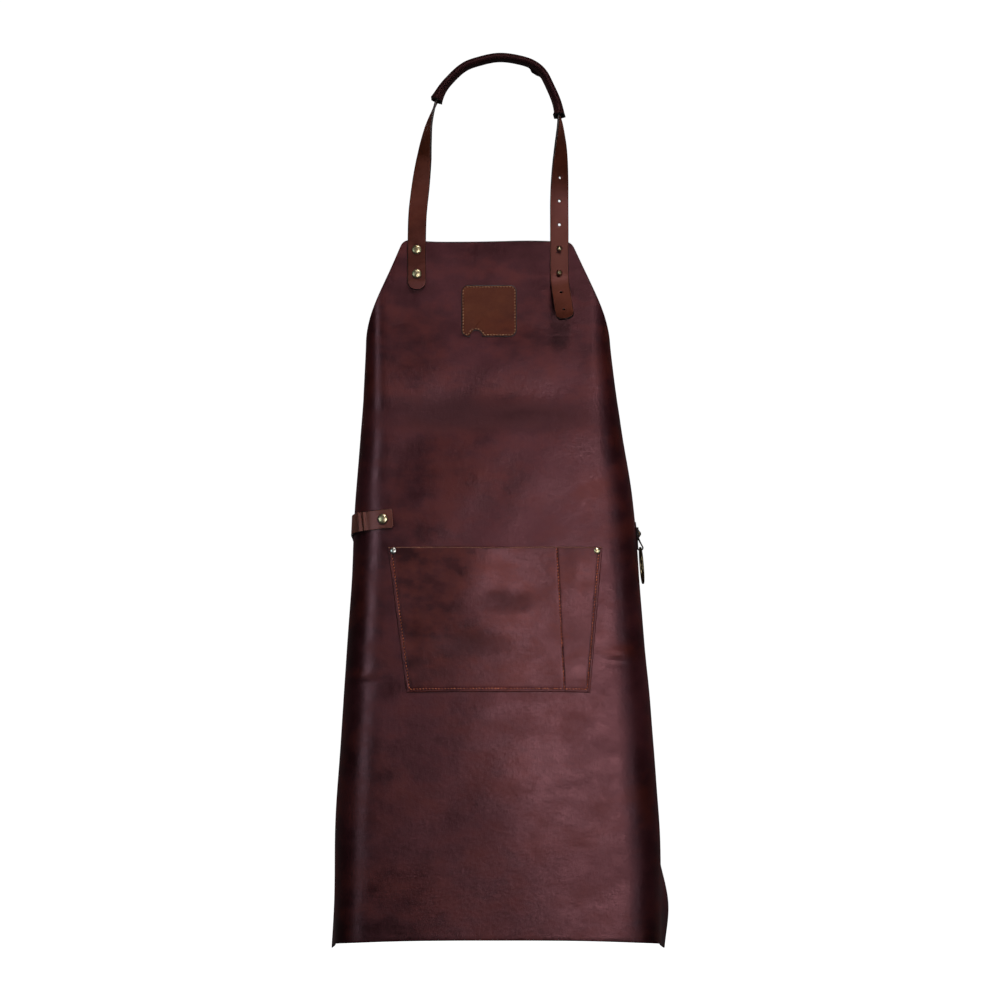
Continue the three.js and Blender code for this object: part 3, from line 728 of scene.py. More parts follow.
def spread(tree, value, low, high, start=0.3, stop=0.7):
    """A value between start and stop spread between two others."""
    limits = {"From Min": start, "From Max": stop, "To Min": low, "To Max": high}
    return add_node(tree, "ShaderNodeMapRange", {"Value": value}, **limits).outputs["Result"]


def bump(tree, height, distance, strength, normal=None):
    links = {"Height": height}
    if normal is not None:
        links["Normal"] = normal
    return add_node(tree, "ShaderNodeBump", links, Distance=distance, Strength=strength).outputs["Normal"]


def mixed(tree, share, a, b):
    """Colour a, with colour b in its place where share is high."""
    node = add_node(tree, "ShaderNodeMix", data_type="RGBA")
    tree.links.new(share, node.inputs[0])
    tree.links.new(a, node.inputs[6])
    node.inputs[7].default_value = (*b, 1.0)
    return node.outputs[2]


def stretched(tree, place, scale, shift=(0.0, 0.0, 0.0)):
    """Places multiplied by a scale and moved, so that patterns can run longer one way."""
    node = add_node(tree, "ShaderNodeMapping", {"Vector": place}, Scale=scale, Location=shift)
    return node.outputs["Vector"]


def spot(tree, place, row):
    """A soft patch, 1 in its middle and 0 outside, from a row with its place on the front and its reach."""
    scale = (1 / (row["wide"] * MM), 0.0, 1 / (row["tall"] * MM))
    shift = (-row["at"][0] / row["wide"], 0.0, -row["at"][1] / row["tall"])
    away = stretched(tree, place, scale, shift)
    distance = add_node(tree, "ShaderNodeVectorMath", {0: away}, operation="LENGTH").outputs["Value"]
    return spread(tree, distance, 1.0, 0.0, 0.2, 1.0)


def leather(name, dark, middle, light, warm, rough=(0.28, 0.42), shine=0.5, clouds=9.0, depth=1.0, **patches):
    """Oiled leather: clouds of colour, pores, wrinkles, an uneven shine, warm patches, and patches of painted
    shade and painted sheen.
    """
    material, tree, shader = new_material(name, Specular_IOR_Level=shine, Specular_Tint=WAX_TINT)
    place = place_of(tree)
    level = stretched(tree, place, (0.8, 1.0, 1.3))
    cloud = noise(tree, level, clouds, 4.0, 0.5)
    blotch = noise(tree, level, clouds * 3.5, 5.0, 0.56)
    speck = noise(tree, place, clouds * 44, 3.0, 0.6)
    tone = blend(tree, blend(tree, cloud, blotch, 0.35), speck, 0.1)
    colour = ramp(tree, tone, [(0.37, dark), (0.5, middle), (0.64, light)])
    patch = blend(tree, noise(tree, level, clouds * 1.4, 3.0), blotch, 0.5)
    warmth = spread(tree, patch, 0.0, 0.8, 0.47, 0.65)
    for row in patches.get("warm_spots", ()):
        warmth = maths(tree, "MULTIPLY_ADD", spot(tree, place, row), blotch, warmth)
    limited = add_node(tree, "ShaderNodeClamp", {"Value": warmth})
    colour = mixed(tree, limited.outputs["Result"], colour, warm)
    # Patches of painted sheen: the colour lightens towards the light tone
    for row in patches.get("rubbed_spots", ()):
        colour = mixed(tree, spot(tree, place, row), colour, light)
    worn = blend(tree, cloud, blotch, 0.6)
    polish = spread(tree, worn, *rough, 0.4, 0.6)
    # Patches of painted shade: the colour darkens towards the dark tone and the shine dulls
    for row in patches.get("dark_spots", ()):
        uneven = maths(tree, "MULTIPLY", spot(tree, place, row), spread(tree, blotch, 0.5, 1.0))
        colour = mixed(tree, uneven, colour, dark)
        polish = maths(tree, "MULTIPLY_ADD", uneven, DULL_SHADE, polish)
    tree.links.new(colour, shader.inputs["Base Color"])
    tree.links.new(polish, shader.inputs["Roughness"])
    cells = {"Scale": PORES["scale"], "feature": "DISTANCE_TO_EDGE"}
    pores = add_node(tree, "ShaderNodeTexVoronoi", {"Vector": place}, **cells).outputs["Distance"]
    wrinkles = noise(tree, place, WRINKLES["scale"], 6.0, 0.65)
    pebbles = noise(tree, place, PEBBLES["scale"], 3.0)
    normal = None
    for grain, height in ((PORES, pores), (WRINKLES, wrinkles), (PEBBLES, pebbles)):
        normal = bump(tree, height, grain["height"], grain["strength"] * depth, normal)
    tree.links.new(normal, shader.inputs["Normal"])
    return material


def suede(name, dark, light):
    """The flesh side: matt, fibrous and uneven."""
    material, tree, shader = new_material(name, Roughness=0.95, Specular_IOR_Level=0.15)
    place = place_of(tree)
    fibre = noise(tree, place, 420.0, 8.0, 0.75)
    tone = blend(tree, noise(tree, place, 22.0, 5.0), fibre, 0.45)
    tree.links.new(ramp(tree, tone, [(0.35, dark), (0.65, light)]), shader.inputs["Base Color"])
    tree.links.new(bump(tree, fibre, 0.0008, 0.7), shader.inputs["Normal"])
    return material


def cut_edge(name, dark, light, rough):
    """A cut edge: layered fibres along the edge, rubbed smooth."""
    material, tree, shader = new_material(name, Roughness=rough, Specular_IOR_Level=0.35)
    place = place_of(tree)
    fibre = noise(tree, place, 640.0, 6.0, 0.7)
    tree.links.new(ramp(tree, fibre, [(0.35, dark), (0.65, light)]), shader.inputs["Base Color"])
    tree.links.new(bump(tree, fibre, 0.0004, 0.5), shader.inputs["Normal"])
    return material


def metal(name, dark, light, rough):
    """Worn metal: a brown film in places, small scratches and an uneven polish."""
    material, tree, shader = new_material(name, Metallic=1.0)
    place = place_of(tree)
    film = noise(tree, place, 260.0, 6.0, 0.65)
    tree.links.new(ramp(tree, film, [(0.34, dark), (0.6, light)]), shader.inputs["Base Color"])
    tree.links.new(spread(tree, film, rough + 0.12, rough), shader.inputs["Roughness"])
    tree.links.new(bump(tree, noise(tree, place, 900.0, 4.0), 0.0002, 0.3), shader.inputs["Normal"])
    return material


def thread(name, dark, light):
    """Waxed thread: twisted strands and a soft shine."""
    material, tree, shader = new_material(name, Roughness=0.62, Specular_IOR_Level=0.35)
    place = place_of(tree)
    strand = noise(tree, place, 1500.0, 4.0, 0.6)
    tone = blend(tree, strand, noise(tree, place, 60.0), 0.5)
    tree.links.new(ramp(tree, tone, [(0.36, dark), (0.62, light)]), shader.inputs["Base Color"])
    tree.links.new(bump(tree, strand, 0.0003, 0.6), shader.inputs["Normal"])
    return material


BODY_LEATHER = leather(
    "body_leather",
    dark=(0.024, 0.005, 0.0064),
    middle=(0.05, 0.0108, 0.014),
    light=(0.09, 0.0205, 0.026),
    warm=(0.105, 0.0165, 0.0095),
    warm_spots=BODY_WARM_SPOTS,
    dark_spots=BODY_PAINTED_SHADE_SPOTS,
)
POCKET_LEATHER = leather(
    "pocket_leather",
    dark=(0.026, 0.0052, 0.005),
    middle=(0.066, 0.0138, 0.0128),
    light=(0.12, 0.029, 0.027),
    warm=(0.15, 0.026, 0.011),
    clouds=13.0,
    dark_spots=POCKET_PAINTED_SHADE_SPOTS,
)
SLEEVE_LEATHER = leather(
    "sleeve_leather",
    dark=(0.026, 0.0078, 0.0082),
    middle=(0.033, 0.0102, 0.0106),
    light=(0.041, 0.0132, 0.0136),
    warm=(0.036, 0.0106, 0.009),
    rough=(0.5, 0.66),
    shine=0.25,
    depth=0.3,
)
STRAP_LEATHER = leather(
    "strap_leather",
    dark=(0.045, 0.0098, 0.0048),
    middle=(0.085, 0.02, 0.0092),
    light=(0.19, 0.06, 0.043),
    warm=(0.13, 0.027, 0.0095),
    rough=(0.36, 0.5),
    shine=0.25,
    rubbed_spots=STRAP_PAINTED_SHEEN_SPOTS,
)
# The waist strap's own lighter leather, its colour raised further as a painted sheen for the light it catches
WAIST_LEATHER_AND_SHEEN = leather(
    "waist_leather_and_sheen",
    dark=(0.095, 0.028, 0.018),
    middle=(0.19, 0.066, 0.044),
    light=(0.28, 0.115, 0.085),
    warm=(0.2, 0.058, 0.032),
    rough=(0.3, 0.42),
)
LABEL_LEATHER = leather(
    "label_leather",
    dark=(0.07, 0.018, 0.0072),
    middle=(0.13, 0.036, 0.0135),
    light=(0.2, 0.06, 0.024),
    warm=(0.17, 0.034, 0.0095),
    rough=(0.45, 0.58),
    shine=0.25,
)
BODY_FLESH = suede("body_flesh", (0.032, 0.013, 0.012), (0.075, 0.035, 0.03))
STRAP_FLESH = suede("strap_flesh", (0.05, 0.022, 0.013), (0.11, 0.055, 0.034))
DARK_EDGE = cut_edge("dark_edge", (0.016, 0.006, 0.005), (0.04, 0.016, 0.012), 0.42)
POCKET_EDGE = cut_edge("pocket_edge", (0.16, 0.045, 0.022), (0.3, 0.105, 0.055), 0.6)
BRASS = metal("brass", (0.14, 0.1, 0.05), (0.56, 0.45, 0.27), 0.26)
DARK_BRASS = metal("dark_brass", (0.025, 0.018, 0.011), (0.2, 0.15, 0.085), 0.32)
STEEL = metal("steel", (0.2, 0.17, 0.14), (0.62, 0.6, 0.56), 0.24)
RUST_THREAD = thread("rust_thread", (0.6, 0.11, 0.035), (0.95, 0.27, 0.1))
TAN_THREAD = thread("tan_thread", (0.34, 0.14, 0.055), (0.66, 0.34, 0.16))


# Leather pieces


def body_heights():
    """Heights of the body's rows: close together where the armhole runs out level."""
    top = BIB_TOP - np.array(EDGE_LINES[:2])
    bib_length = BIB_TOP - EDGE_LINES[2] - ARMHOLE["slant_end"]
    bib = ARMHOLE["slant_end"] + bib_length * (1 - np.linspace(0, 1, STEPS["bib"]) ** BIB_CLOSING)
    share = np.linspace(1, 0, STEPS["armhole"])[1:] ** 2
    armhole = ARMHOLE["end"] + (ARMHOLE["slant_end"] - ARMHOLE["end"]) * share
    skirt = np.linspace(ARMHOLE["end"], HEM + EDGE_LINES[2], STEPS["skirt"])[1:]
    return np.concatenate([top, bib, armhole, skirt, HEM + np.array(EDGE_LINES[1::-1])])[::-1]


def make_body():
    z = body_heights()
    columns = [with_edge_lines(-half, half, STEPS["body_across"]) for half in half_width(z)]
    s = np.array(columns)
    z_grid = np.broadcast_to(z[:, None], s.shape)
    near_top = smooth(1 - (BIB_TOP - z_grid) / TOP_RISE_REACH)
    rises = [row["rise"] * hill((s - row["s"]) / row["wide"]) for row in TOP_RISES]
    z_grid = z_grid + sum(rises) * near_top
    drop = edge_drop(s.shape)
    front = on_body(s, z_grid, -drop)
    back = on_body(s, z_grid, drop - BODY_THICK)
    points, faces, slots = sheet_geometry(front, back)
    materials = [BODY_LEATHER, BODY_FLESH, DARK_EDGE]
    piece = add_piece("body", points, faces, materials, slots, replaces=["apron_body"], slot="body_leather")


def pocket_edges(up):
    """Where the pocket's left edge, divider and right edge are at shares of its height."""
    ends = [POCKET[edge] for edge in ("left", "divider", "right")]
    return [bottom + (top - bottom) * up for top, bottom in ends]


def pocket_lift(x, up):
    """How far the pocket's inner face stands off the body."""
    left, middle, right = pocket_edges(up)
    start = np.where(x <= middle, left, middle)
    stop = np.where(x <= middle, middle, right)
    seam = np.where(x <= middle, POCKET["seam"], POCKET["pen_seam"])
    share = np.clip((x - start - seam) / (stop - start - 2 * seam), 0, 1)
    fullest = np.where(x <= middle, POCKET["puff"], POCKET["pen_puff"])
    puff = fullest * np.sin(math.pi * share) ** 2 * smooth(POCKET["rise"] * up)
    z = pocket_height(x, up)
    for dent in POCKET_DENTS:
        depth = dent["push"] * hill((x - dent["x"]) / dent["wide"], (z - dent["z"]) / dent["tall"])
        puff = puff + depth * np.clip(puff, 0, 1)
    return GAP + puff


def pocket_height(x, up):
    """Heights of places on the pocket; its top edge dips in the middle."""
    z = POCKET["bottom"] + POCKET_HEIGHT * up
    return z - POCKET["dip"] * up * np.cos(np.clip(x / POCKET["right"][0], -1, 1) * math.pi / 2)


def pocket_point(x, up, h):
    """Places on the pocket's outer face, and h off it."""
    return on_front(x, pocket_height(x, up), pocket_lift(x, up) + POCKET_THICK + h)


def pocket_seams():
    """The pocket's lines of stitches as places across and up."""
    inset = POCKET_STITCH["inset"]
    low = inset / POCKET_HEIGHT
    up = np.linspace(1 - 0.2 * low, low, STEPS["seam_up"])
    left, middle, right = pocket_edges(up)
    across = np.linspace(left[-1] + inset, right[-1] - inset, STEPS["seam_across"])
    level = np.full_like(across, low)
    return [(left + inset, up), (across, level), (right[::-1] - inset, up[::-1]), (middle, up)]


def seam_fall(away, groove):
    """How far the face lies down at distances from a seam."""
    return groove["depth"] * hill(away / groove["reach"])


def pocket_groove(x, up):
    """How far the thread pulls the pocket's face down along its seams."""
    inset = POCKET_STITCH["inset"]
    left, middle, right = pocket_edges(up)
    away = [x - left - inset, x - right + inset, x - middle, up * POCKET_HEIGHT - inset]
    return seam_fall(np.min(np.abs(np.stack(away)), axis=0), POCKET_GROOVE)


def make_pocket():
    ups = with_edge_lines(0, POCKET_HEIGHT, STEPS["pocket_up"]) / POCKET_HEIGHT
    rows = []
    for up in ups:
        left, middle, right = pocket_edges(up)
        main = with_edge_lines(left, middle + EDGE_LINES[2], STEPS["pocket_across"])[:-2]
        pen = with_edge_lines(middle - EDGE_LINES[2], right, STEPS["pen_across"])[3:]
        rows.append(np.concatenate([main, pen]))
    x = np.array(rows)
    up = np.broadcast_to(ups[:, None], x.shape)
    drop = edge_drop(x.shape)
    front = pocket_point(x, up, -drop - pocket_groove(x, up))
    back = pocket_point(x, up, POCKET["back_fall"] * drop - POCKET_THICK)
    points, faces, slots = sheet_geometry(front, back)
    materials = [POCKET_LEATHER, BODY_FLESH, POCKET_EDGE]
    piece = add_piece(
        "pocket_panel", points, faces, materials, slots, replaces=["pocket"], slot="body_leather")
    stitches = []
    for seam_x, seam_up in pocket_seams():
        at = pocket_point(seam_x, seam_up, -POCKET_STITCH["sunk"])
        z = pocket_height(seam_x, seam_up)
        out = body_directions(across_at(seam_x, z), z)[2]
        stitches.append(stitch_row(at, out, POCKET_STITCH))
    thread_piece = add_piece("pocket_stitches", *join_rows(stitches), [RUST_THREAD])


def label_outline(inset):
    """The label's outline, moved inwards: round corners, and a half-round notch in its lower edge."""
    left, right = LABEL["left"] + inset, LABEL["right"] - inset
    top, bottom = LABEL["top"] - inset, LABEL["bottom"] + inset
    corner = LABEL["corner"] - inset
    notch = LABEL_NOTCH["radius"] + inset
    reach = math.sqrt(notch**2 - inset**2)
    points = []

    def arc(x, z, radius, angles):
        points.extend((x + radius * math.cos(angle), z + radius * math.sin(angle)) for angle in angles)

    quarter = np.linspace(0, 1, STEPS["label_corner"])
    arc(right - corner, top - corner, corner, quarter * math.pi / 2)
    arc(left + corner, top - corner, corner, (quarter + 1) * math.pi / 2)
    arc(left + corner, bottom + corner, corner, (quarter + 2) * math.pi / 2)
    start = math.acos(reach / notch)
    half_round = np.linspace(math.pi - start, start, STEPS["label_notch"])
    arc(LABEL_NOTCH["x"], LABEL["bottom"], notch, half_round)
    arc(right - corner, bottom + corner, corner, (quarter + 3) * math.pi / 2)
    points.append(points[0])
    points = np.array(points)
    length = lengths_of(points)
    even = np.linspace(0, length[-1], STEPS["label_round"] + 1)[:-1]
    return at_lengths(even, length, points)


def make_label():
    outline, near, inner = (label_outline(line) for line in EDGE_LINES)
    seam = label_outline(LABEL_STITCH["inset"])
    loops = STEPS["label_loops"]
    shrunk = [inner + (LABEL_MIDDLE - inner) * share for share in np.linspace(0, LABEL_SHRINK, loops)]
    drops = [*EDGE_DROP[:2], *[0.0] * loops]
    rings = [on_front(*outline.T, GAP + LABEL_LIFT)]
    for loop, drop in zip([outline, near, *shrunk], drops):
        away = np.min(np.linalg.norm(loop[:, None] - seam[None], axis=2), axis=1)
        rings.append(on_front(*loop.T, GAP + LABEL_THICK - drop - seam_fall(away, LABEL_GROOVE)))
    points, faces = tube_geometry(np.array(rings))
    count = len(outline)
    slots = [1] * count * 3 + [0] * count * (loops - 1) + [1, 0]
    look = [LABEL_LEATHER, DARK_EDGE]
    piece = add_piece("label", points, faces, look, slots, replaces=["label_patch"], slot="strap_leather")
    line = np.concatenate([seam, seam[:1]])
    at = on_front(*line.T, GAP + LABEL_THICK - LABEL_STITCH["sunk"])
    out = np.broadcast_to([0.0, -1.0, 0.0], at.shape)
    stitches = add_piece("label_stitches", *stitch_row(at, out, LABEL_STITCH), [TAN_THREAD])


# Straps


def neck_frames(rows):
    """The neck strap's places, directions and grain side, at places along its route counted in rows."""
    at, along = spline([(r["x"], r["y"], r["z"]) for r in NECK_ROUTE], rows)
    knots = np.arange(len(NECK_ROUTE))
    twists = [r["twist"] for r in NECK_ROUTE]
    soft = [np.interp(rows + shift, knots, twists) for shift in np.linspace(-0.5, 0.5, 9)]
    twist = np.radians(np.mean(soft, axis=0))[:, None]
    front = unit(np.array([0.0, -1.0, 0.0]) + along * along[:, 1:2])
    out = np.cross(front, along)
    return at, along, front * np.cos(twist) + out * np.sin(twist)


def rows_from_tip(distances):
    """Places along the neck strap's route, counted in rows, at distances back from its free tip."""
    rows = np.linspace(0, len(NECK_ROUTE) - 1, STEPS["hole_route"])
    length = lengths_of(neck_frames(rows)[0])
    return np.interp(length[-1] - np.asarray(distances), length, rows)


def punched(piece, places, directions, radii):
    """Takes round holes out of a piece."""
    cutters = []
    for i, (at, along, radius) in enumerate(zip(places, directions, radii)):
        profile = [(radius, -PUNCH_REACH), (radius, PUNCH_REACH)]
        sides = STEPS["hole"]
        cutters.append(turned(f"cutter_{i}", profile, at, along, DARK_EDGE, slot=None, sides=sides))
    for cutter in cutters:
        cut = piece.modifiers.new("hole", "BOOLEAN")
        cut.operation = "DIFFERENCE"
        cut.solver = "EXACT"
        cut.object = cutter
    bpy.context.view_layer.update()
    done = bpy.data.meshes.new_from_object(piece.evaluated_get(bpy.context.evaluated_depsgraph_get()))
    piece.modifiers.clear()
    piece.data = done
    for cutter in cutters:
        bpy.data.objects.remove(cutter)


def make_neck_strap():
    last = len(NECK_ROUTE) - 1
    coarse = np.linspace(0, last, STEPS["strap_route"])
    length = lengths_of(neck_frames(coarse)[0])
    tip = NECK_STRAP["round"] * (1 - np.cos(np.linspace(0, math.pi / 2, STEPS["strap_tip"])))
    between = np.linspace(tip[-1], length[-1] - tip[-1], STEPS["strap"])[1:-1]
    even = np.concatenate([tip, between, length[-1] - tip[::-1]])
    rows = np.interp(even, length, coarse)
    at, _, normal = neck_frames(rows)
    half = rounded_half(NECK_STRAP, np.minimum(even, length[-1] - even))
    look = [STRAP_LEATHER, STRAP_FLESH, DARK_EDGE]
    piece = add_strip("strap_neck", at, normal, half, NECK_STRAP["thick"], look, "neck_strap")
    holes = HOLES["from_tip"] + HOLES["pitch"] * np.arange(HOLES["count"])
    places, _, directions = neck_frames(rows_from_tip(holes))
    radii = np.full(HOLES["count"], HOLES["radius"])
    radii[list(STUD_HOLES.values())] = HOLES["stud_radius"]
    punched(piece, places, directions, radii)
    return places, directions


def make_sleeve():
    """The sleeve round the neck strap: two walls, thin sewn edges, and ends that stand a little open."""
    rows = np.linspace(SLEEVE["from"], SLEEVE["to"], STEPS["sleeve"])
    columns = STEPS["sleeve_across"]
    at, along, normal = neck_frames(rows)
    side = np.cross(along, normal)
    length = lengths_of(at)
    from_end = np.minimum(length, length[-1] - length)
    open_up = SLEEVE_FLARE["out"] * np.exp(-from_end / SLEEVE_FLARE["reach"])
    share = np.sin(np.linspace(-1, 1, columns) * math.pi / 2)
    share = np.concatenate([share, share[::-1][1:-1]])
    top = np.concatenate([np.ones(columns), -np.ones(columns - 2)])
    full = NECK_STRAP["width"] / SLEEVE["width"]
    thin = smooth((np.abs(share) - full) / (1 - full))
    edge_round = np.sqrt(np.clip(1 - share ** SLEEVE_SQUARE["outer"], 0, 1))
    half = (SLEEVE["thick"] * (1 - thin) + SLEEVE["edge"] * thin) / 2 * edge_round
    lip = LIP["drop"] * np.exp(-(((rows - LIP["at"]) / LIP["reach"]) ** 4))[:, None] * smooth(-2 * share - 1)
    pucker = SLEEVE_PUCKER["height"] * np.sin(length * SLEEVE_PUCKER["rate"])[:, None] * thin
    wave = SLEEVE_WAVE["height"] * np.sin(length * SLEEVE_WAVE["rate"] + SLEEVE_WAVE["phase"])[:, None]
    lift = (half + open_up[:, None] * (1 - thin)) * top + (pucker + wave) - lip
    wide = (SLEEVE["width"] / 2 + SLEEVE_FLARE["wide"] * open_up)[:, None] * share
    outer = rings_round(at, side, normal, wide, lift)
    bore = SLEEVE["bore"] / 2 * np.sqrt(np.clip(1 - share ** SLEEVE_SQUARE["inner"], 0, 1))
    lift = (bore + open_up[:, None] * (1 - thin)) * top
    wide = np.full(len(rows), NECK_STRAP["width"] / 2 + SLEEVE["play"])[:, None] * share
    inner = rings_round(at, side, normal, wide, lift)
    rings = np.concatenate([outer, inner[::-1]])
    count = rings.shape[1]
    faces = loop_faces(len(rings), count)
    walls = (len(rows) - 1) * count
    slots = [0] * walls + [2] * count + [1] * walls + [2] * count
    look = [SLEEVE_LEATHER, BODY_FLESH, DARK_EDGE]
    piece = add_piece("sleeve", rings, faces, look, slots, replaces=["neck_pad"], slot="sleeve_leather")


def waist_height(s):
    return WAIST["z"] - WAIST["fall"] * np.maximum(0, np.abs(s) - abs(WAIST["rivet"]))


def waist_places(s):
    """The waist strap's places and outward directions on the body, with its creases."""
    z = waist_height(s)
    lift = np.full_like(s, GAP + WAIST_STRAP["thick"] / 2)
    for crease in WAIST_CREASES:
        lift = lift + crease["push"] * hill((s - crease["s"]) / crease["wide"])
    return off_body(s, z, lift)


def make_waist_strap():
    left = np.arange(WAIST["start"], -WAIST["leave"], -WAIST_STEPS["left"])
    right = np.arange(WAIST["leave"], WAIST["end"], -WAIST_STEPS["right"])
    left_at, left_out = waist_places(left)
    right_at, right_out = waist_places(right)
    # The outer knots are on the body, so that the curve round the back leaves it in the strap's own direction
    knots = [left_at[-11], left_at[-1], *WAIST_BACK, right_at[0], right_at[4]]
    rows = np.linspace(1, len(knots) - 2, STEPS["waist_back"])[1:-1]
    back_at, back_along = spline(knots, rows)
    back_out = unit(np.cross([0.0, 0.0, 1.0], back_along))
    at = np.concatenate([left_at, back_at, right_at])
    normal = np.concatenate([left_out, back_out, right_out])
    length = lengths_of(at)
    half = rounded_half(WAIST_STRAP, np.minimum(length, length[-1] - length))
    look = [WAIST_LEATHER_AND_SHEEN, STRAP_FLESH, DARK_EDGE]
    piece = add_strip("strap_waist", at, normal, half, WAIST_STRAP["thick"], look, "waist_strap")


# Ring and tab


def tab_frame():
    """The tab's place on the body, and the directions across, up and out of it."""
    here, out = off_body(TAB["s"], TAB["z"], 0.0)
    across = unit(np.cross([0.0, 0.0, 1.0], out))
    return here, across, np.cross(out, across), out


def make_tab():
    """The ring's tab: down the body, round the ring and up again, narrower at its fold."""
    here, _, up, out = tab_frame()
    line = [(TAB_BACK, TAB["top"]), (TAB_BACK, TAB_RIVET_UP)]
    for angle in np.linspace(math.pi, 2 * math.pi + math.pi / 6, STEPS["tab_fold"]):
        line.append((TAB_AXIS + TAB_BEND * math.cos(angle), TAB["fold"] + TAB_BEND * math.sin(angle)))
    line += [(TAB_FRONT, TAB_RIVET_UP - 5), (TAB_FRONT, TAB_RIVET_UP), (TAB_FRONT, TAB["top"])]
    path, along = spline([(o, u, 0.0) for o, u in line], np.linspace(0, len(line) - 1, STEPS["tab"]))
    at = here + path[:, :1] * out + path[:, 1:2] * up
    normal = along[:, 1:2] * out - along[:, :1] * up
    narrowing = smooth((TAB_RIVET_UP - path[:, 1]) / (TAB_RIVET_UP - TAB["fold"]))
    half = (TAB["wide"] + (TAB["narrow"] - TAB["wide"]) * narrowing) / 2
    look = [SLEEVE_LEATHER, BODY_FLESH, DARK_EDGE]
    piece = add_strip("tab_for_ring", at, normal, half, TAB["thick"], look, "ring_tab")
    top = TAB_FRONT + TAB["thick"] / 2 + GAP
    grip = top + BODY_THICK + GAP
    place = here + up * TAB_RIVET_UP + out * top
    add_rivet("rivet_ring", TAB_RIVET, place, out, grip, "ring_rivet", DARK_BRASS)


def make_ring():
    here, across, up, out = tab_frame()
    centre = here + up * (TAB["fold"] - RING["radius"]) + out * TAB_AXIS
    angle = circle(STEPS["ring"])
    radial = np.cos(angle)[:, None] * across + np.sin(angle)[:, None] * up
    turn = circle(STEPS["wire"])
    points = centre + radial[:, None] * (RING["radius"] + RING["wire"] * np.cos(turn))[None, :, None]
    points = points + out * (RING["wire"] * np.sin(turn))[None, :, None]
    faces = loop_faces(len(angle), len(turn))[:, ::-1]
    add_piece("side_ring", points, faces, [DARK_BRASS], body="ring", replaces=["ring"], slot="brass")


# Rivets and studs


def dome_profile(head, height):
    """A domed head with a small rolled rim."""
    angles = np.linspace(0, math.pi / 2, STEPS["dome"])[:-1]
    start = RIM["top"] * height
    rise = (1 - RIM["top"]) * height
    dome = [(head * math.cos(a), start + rise * math.sin(a)) for a in angles]
    rim = [(RIM["foot"] * head, 0.0), (head, RIM["low"] * height), (head, RIM["high"] * height)]
    return [*rim, *dome, (TIP_RADIUS, height)]


def back_profile(cap, shank, grip):
    """A flat back cap and the shank up to the head."""
    low = -grip - CAP["height"]
    bevel = [(CAP["flat"] * cap, low), (cap, low + CAP["bevel"])]
    return [(TIP_RADIUS, low), *bevel, (cap, -grip), (shank, -grip), (shank, 0.0)]


def add_rivet(name, rivet, at, along, grip, node, material=BRASS):
    profile = back_profile(rivet["cap"], rivet["shank"], grip) + dome_profile(rivet["head"], rivet["height"])
    turned(name, profile, at, along, material, replaces=[node])


def add_stud(name, at, along, grip, node):
    radius = STUD["ball"]
    start = math.asin(STUD["neck"] / radius)
    middle = STUD["lift"] + math.cos(start) * radius
    angles = np.linspace(start, math.pi, STEPS["ball"])
    ball = [(max(TIP_RADIUS, radius * math.sin(a)), middle - radius * math.cos(a)) for a in angles]
    turned(name, back_profile(STUD["cap"], STUD["neck"], grip)[:-1] + ball, at, along, BRASS, replaces=[node])


def make_fasteners(hole_places, hole_directions):
    front = np.array([0.0, -1.0, 0.0])
    strap_top = GAP + NECK_STRAP["thick"]
    grip = strap_top + BODY_THICK + 2 * GAP
    for name, z in NECK_RIVET_HEIGHTS.items():
        at = on_front(NECK_ROUTE[2]["x"], z, strap_top + GAP)
        add_rivet(f"rivet_neck_{name}", NECK_RIVET, at, front, grip, f"neck_rivet_{name}")
    for name, hole in STUD_HOLES.items():
        along = hole_directions[hole]
        at = hole_places[hole] + along * (NECK_STRAP["thick"] / 2 + GAP)
        add_stud(f"stud_neck_{name}", at, along, grip, f"neck_stud_{name}")
    z = POCKET["top"] - POCKET_RIVET_DOWN
    grip = POCKET_THICK + BODY_THICK + 3 * GAP
    for name, inwards, material in (("left", POCKET_RIVET_IN, STEEL), ("right", -POCKET_RIVET_IN, BRASS)):
        at, along = off_body(across_at(POCKET[name][0] + inwards, z), z, POCKET_THICK + 2 * GAP)
        add_rivet(f"rivet_pocket_{name}", POCKET_RIVET, at, along, grip, f"pocket_rivet_{name}", material)
    grip = WAIST_STRAP["thick"] + BODY_THICK + 3 * GAP
    lift = WAIST_STRAP["thick"] + 2 * GAP
    at, along = off_body(WAIST["rivet"], waist_height(WAIST["rivet"]), lift)
    add_rivet("rivet_waist", WAIST_RIVET, at, along, grip, "waist_rivet")
    at, along = off_body(WAIST["stud"], waist_height(WAIST["stud"]), lift)
    add_stud("stud_waist", at, along, grip, "waist_stud")


# Studio


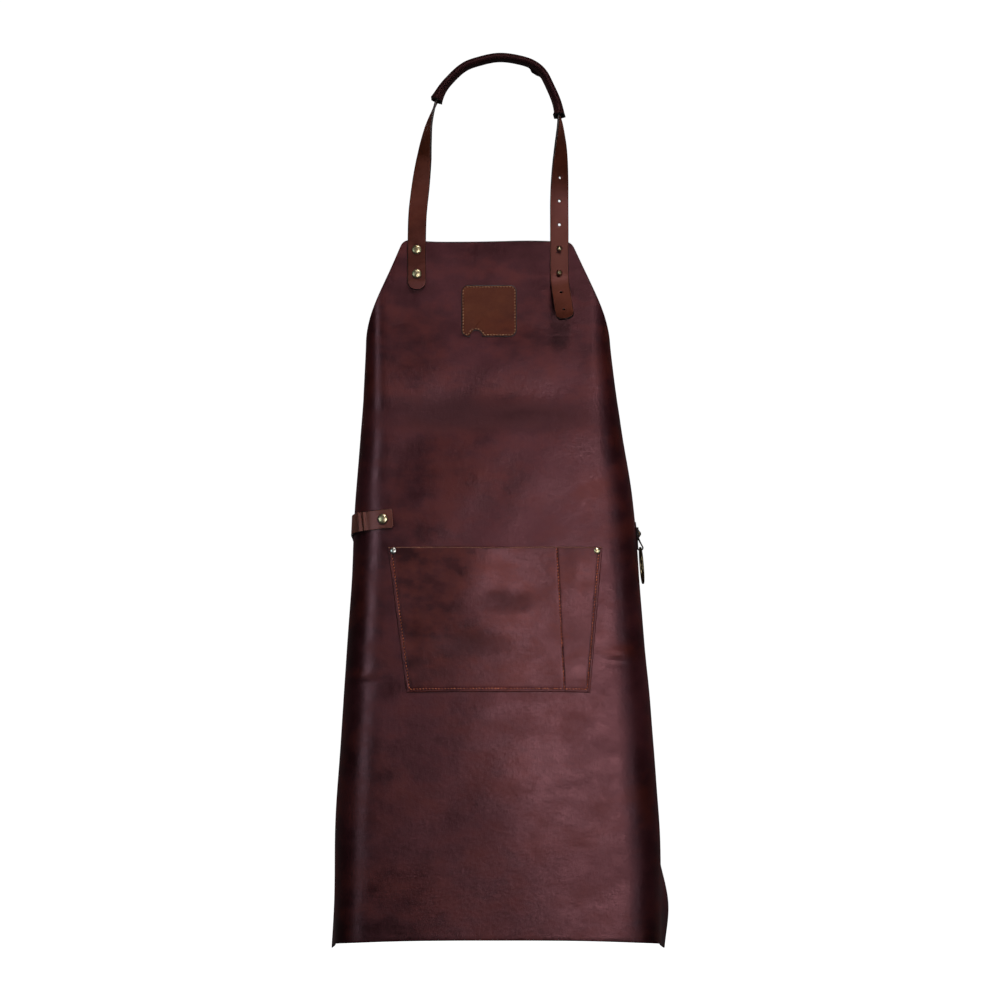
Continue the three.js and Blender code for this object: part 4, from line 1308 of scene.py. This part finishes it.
def add_stage():
    """A round pale floor that curves up into a wall all round, and sends no light back onto the apron."""
    white = (*WHITE, 1.0)
    glow = {"Emission_Color": white, "Emission_Strength": 1.0}
    look, _, _ = new_material("floor", Base_Color=white, Roughness=1.0, **glow)
    curve, sides = STAGE["curve"], STEPS["stage"]
    profile = [(curve, 0.0)]
    for a in np.linspace(0, math.pi / 2, STEPS["stage_curve"]):
        profile.append((STAGE["radius"] + curve * math.sin(a), curve * (1 - math.cos(a))))
    profile.append((STAGE["radius"] + curve, STAGE["height"]))
    rows = [[(r * math.cos(a), r * math.sin(a), FLOOR_HEIGHT + z) for a in circle(sides)] for r, z in profile]
    faces = grid_faces(len(rows), sides, closed=True).tolist() + [list(range(sides))]
    mesh = bpy.data.meshes.new("floor")
    mesh.from_pydata((np.array(rows).reshape(-1, 3) * MM).tolist(), [], faces)
    mesh.materials.append(look)
    floor = bpy.data.objects.new("floor", mesh)
    floor.visible_diffuse = False
    floor.visible_glossy = False
    bpy.context.scene.collection.objects.link(floor)


def add_light(row):
    """A soft box from a row of the table of lights, seen in the leather's sheen, as soft light or both."""
    data = bpy.data.lights.new(row["name"], "AREA")
    data.shape = "RECTANGLE"
    data.size, data.size_y = row["size"]
    data.energy = row["power"]
    data.color = row["colour"]
    data.spread = math.radians(row["beam"])
    light = bpy.data.objects.new(row["name"], data)
    light.location = row["place"]
    light.visible_diffuse = row["gives"] != "sheen"
    light.visible_glossy = row["gives"] != "soft light"
    bpy.context.scene.collection.objects.link(light)
    away = np.subtract(row["place"], row["aim"])
    tilt = math.atan2(math.hypot(away[0], away[1]), away[2])
    light.rotation_euler = (tilt, 0.0, math.atan2(away[0], -away[1]))


def add_sky():
    world = bpy.data.worlds.new("studio")
    bpy.context.scene.world = world
    world.use_nodes = True
    background = world.node_tree.nodes["Background"]
    background.inputs["Color"].default_value = (*WHITE, 1.0)
    background.inputs["Strength"].default_value = SKY


def add_camera():
    data = bpy.data.cameras.new("camera")
    camera = bpy.data.objects.new("camera", data)
    bpy.context.scene.collection.objects.link(camera)
    camera.location = (CAMERA["x"] * MM, -CAMERA["distance"] * MM, CAMERA["height"] * MM)
    camera.rotation_euler = (math.pi / 2, 0.0, 0.0)
    data.sensor_width = 36.0
    data.lens = data.sensor_width * CAMERA["distance"] / CAMERA["field"]
    bpy.context.scene.camera = camera


make_body()
make_pocket()
make_label()
stud_places, stud_directions = make_neck_strap()
make_sleeve()
make_waist_strap()
make_tab()
make_ring()
make_fasteners(stud_places, stud_directions)
add_stage()
for light_row in LIGHTS:
    add_light(light_row)
add_sky()
add_camera()
bpy.context.scene.view_settings.view_transform = "Standard"
